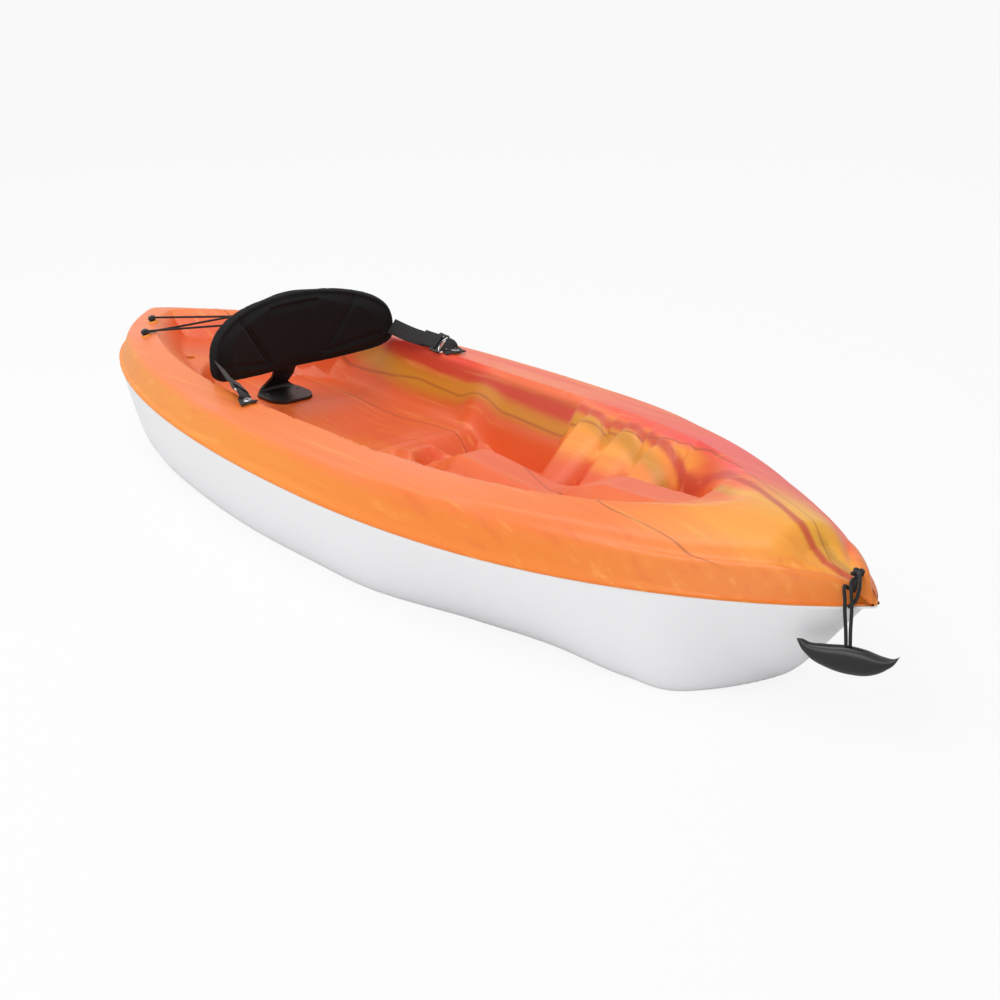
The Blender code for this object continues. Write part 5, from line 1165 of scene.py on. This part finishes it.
TOP_LINE = ((-1.0, 0.004), (-0.93, 0.005), (-0.78, -0.002), (-0.50, -0.003), (0.0, 0.0), (0.35, -0.003),
            (0.65, -0.009), (0.86, -0.009), (1.0, -0.003))
LOW_LINE = ((-1.0, -0.004), (-0.95, -0.014), (-0.78, -0.028), (-0.40, -0.042), (0.05, -0.048), (0.45, -0.044),
            (0.75, -0.031), (0.92, -0.018), (1.0, -0.005))
hole_seat = on_deck(ROPE_HOLE_X, 0.0)[0]
edge_y, edge_ahead = (-float(outline_half(np.array(x))) for x in (ROPE_EDGE_X, ROPE_EDGE_X + EDGE_RUN))
edge_way = Vector((EDGE_RUN, edge_ahead - edge_y, 0)).normalized()
outboard = Vector((edge_way.y, -edge_way.x, 0))
edge_point = deck_point(ROPE_EDGE_X, edge_y)
from_knot = Vector((*(edge_point - hole_seat).xy, 0)).normalized()
drop_top = edge_point + outboard * ROPE_EDGE_OFFSET - UP * ROPE_RADIUS
grip_top = Vector((drop_top.x, drop_top.y, GRIP_TOP))
start = hole_seat + from_knot * (KNOT_RADIUS * 0.9)
strands = []
for side in (-1, 1):
    aside = edge_way * (side * ROPE_SPREAD / 2)
    strand = []
    for share in (0.0, 0.25, 0.5):
        spot = start + (edge_point - start) * share + aside * (0.6 + 0.4 * share)
        seat, up = on_deck(spot.x, spot.y)
        strand.append(seat + up * (ROPE_RADIUS + ROPE_CLEARANCE))
    strands.append(strand + [edge_point - outboard * 0.0045 + UP * 0.030 + aside,
                             edge_point + outboard * (ROPE_EDGE_OFFSET * 0.9) + UP * 0.008 + aside,
                             drop_top + aside - UP * 0.006, drop_top.lerp(grip_top, 0.6) + aside * 0.7,
                             grip_top + aside * 0.62 - UP * 0.004])
first, second = strands
middle, half = (first[0] + second[0]) / 2, (second[0] - first[0]) / 2
turn_in = (middle - (first[1] + second[1]) / 2).normalized() * half.length
round_turn = [middle - half * math.cos(math.pi * k / 4) + turn_in * math.sin(math.pi * k / 4)
              for k in (1, 2, 3)]
rope_path = eased(first[::-1] + round_turn + second, 0.003)
rope = swept("bow_rope", rope_path, Vector((0.3, 0.2, 1)), round_section(ROPE_RADIUS, 14))
dressed(rope, braid, None, "cord", "bow_handle_rope")
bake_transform(rope)

# The stopper knot: the same rope wound round itself twice, with its tail curled under the lip
knot_points = []
for k in range(KNOT_STEPS + 1):
    t = k / KNOT_STEPS * 2 * math.pi
    ring = KNOT_TURN + KNOT_WAVE * math.cos(3 * t)
    knot_points.append(hole_seat + Vector((ring * math.cos(2 * t), ring * math.sin(2 * t),
                                           KNOT_RISE + KNOT_LIFT * math.sin(3 * t))))
knot = swept("bow_knot", eased(knot_points, 0.0015), Vector((0.1, 0.2, 1)), round_section(ROPE_RADIUS, 12))
dressed(knot, braid, "kayak", "cord", "bow_handle_knot")
tail_path = eased([hole_seat + Vector(p) for p in KNOT_TAIL], 0.002)
knot_tail = swept("bow_knot_tail", tail_path, Vector((0.5, 0.5, 0.3)), round_section(ROPE_RADIUS, 12))
dressed(knot_tail, braid, "kayak", "cord")

# The grip: glossy moulded rubber, hollow along its top and turned up to two tips
grip_way = Vector((math.cos(GRIP_HEADING), math.sin(GRIP_HEADING), 0))
grip_side = Vector((-grip_way.y, grip_way.x, 0))
points, faces = [], []
for k in range(GRIP_ROWS + 1):
    u = -math.cos(math.pi * k / GRIP_ROWS)
    top, low = (float(curve_through(np.array([u]), [(a, b + BELOW_ALL) for a, b in line])[0]) - BELOW_ALL
                for line in (TOP_LINE, LOW_LINE))
    tip = math.sqrt(max(0.0, 1 - abs(u) ** 6))
    tall, rise = (top - low) * max(tip, 0.02) / 2, (top + low) / 2
    wide = GRIP_THICKNESS / 2 * max(0.03, (1 - abs(u) ** 2.6) ** 0.6)
    for m in range(GRIP_SIDES):
        angle = 2 * math.pi * m / GRIP_SIDES
        c, s = math.cos(angle), math.sin(angle)
        across = math.copysign(abs(c) ** 0.8, c) * wide * (1 - 0.25 * max(-s, 0) ** 2)
        points.append(grip_top + grip_way * (u * GRIP_LENGTH / 2) + grip_side * across
                      + UP * (rise + math.copysign(abs(s) ** 0.85, s) * tall))
for k in range(GRIP_ROWS):
    for m in range(GRIP_SIDES):
        a, b = k * GRIP_SIDES + m, k * GRIP_SIDES + (m + 1) % GRIP_SIDES
        faces.append([a, b, b + GRIP_SIDES, a + GRIP_SIDES])
faces += [list(range(GRIP_SIDES))[::-1], [GRIP_ROWS * GRIP_SIDES + m for m in range(GRIP_SIDES)]]
grip = shaped("bow_grip", points, faces, 60.0)
grip_rubber = material("moulded_rubber", "#0B0B0C", 0.26, (1.2, 0.05, 0.3), IOR=1.52)[0]
dressed(grip, grip_rubber, "bow_handle", "grip_rubber", "bow_handle_grip")

# Floor and light: a pale studio floor under a wide soft light, before a white backdrop that
# also shows in the reflections. The floor glows to the camera, so that it meets the backdrop.
FLOOR_SIZE, FLOOR_DEPTH, FLOOR_GLOW, SKY_STRENGTH, WHITE = 60.0, 0.0005, 0.88, 0.66, "#FFFFFF"
LAMPS = (("top_light", (-0.6, -1.2, 3.4), (0, 0, 0.1), (3.6, 2.2), 62.0),
         ("side_light", (1.6, -3.4, 1.5), (0.1, 0, 0.15), (2.4, 1.6), 22.0))
ground = shaped("floor", [(x * FLOOR_SIZE, y * FLOOR_SIZE, -FLOOR_DEPTH)
                          for x, y in ((-1, -1), (1, -1), (1, 1), (-1, 1))], [[0, 1, 2, 3]])
floor_finish = bpy.data.materials.new("studio_floor")
floor_finish.use_nodes = True
tree = floor_finish.node_tree
tree.nodes.clear()
seen = add(tree, "ShaderNodeLightPath").outputs["Is Camera Ray"]
matt = add(tree, "ShaderNodeBsdfDiffuse", {"Color": "#E7E7E7"}).outputs[0]
glow = add(tree, "ShaderNodeEmission", {"Color": WHITE, "Strength": 1.0}).outputs[0]
part_seen = add(tree, "ShaderNodeMath", {0: seen, 1: FLOOR_GLOW}, operation="MULTIPLY").outputs[0]
mixed = add(tree, "ShaderNodeMixShader", {0: part_seen, 1: matt, 2: glow}).outputs[0]
add(tree, "ShaderNodeOutputMaterial", {0: mixed})
ground.data.materials.append(floor_finish)
world = bpy.data.worlds.new("studio")
bpy.context.scene.world = world
world.use_nodes = True
tree = world.node_tree
light = tree.nodes["Background"]
light.inputs["Color"].default_value, light.inputs["Strength"].default_value = linear(WHITE), SKY_STRENGTH
backdrop = add(tree, "ShaderNodeBackground", {"Color": WHITE, "Strength": 1.0}).outputs[0]
rays = add(tree, "ShaderNodeLightPath").outputs
straight = {0: rays["Is Camera Ray"], 1: rays["Is Transmission Ray"]}
clear = add(tree, "ShaderNodeMath", straight, operation="ADD")
clear = add(tree, "ShaderNodeMath", {0: clear.outputs[0], 1: rays["Is Glossy Ray"]}, operation="MAXIMUM",
            use_clamp=True)
shown = add(tree, "ShaderNodeMixShader", {0: clear.outputs[0], 1: light.outputs[0], 2: backdrop}).outputs[0]
tree.links.new(shown, tree.nodes["World Output"].inputs["Surface"])
for name, place, aim, size, power in LAMPS:
    lamp = bpy.data.lights.new(name, "AREA")
    lamp.shape = "RECTANGLE"
    lamp.size, lamp.size_y = size
    lamp.energy = power
    held = bpy.data.objects.new(name, lamp)
    looking = (Vector(aim) - Vector(place)).to_track_quat("-Z", "Y").to_matrix().to_4x4()
    held.matrix_world = Matrix.Translation(place) @ looking
    bpy.context.scene.collection.objects.link(held)
bpy.context.scene.view_settings.view_transform = "Standard"
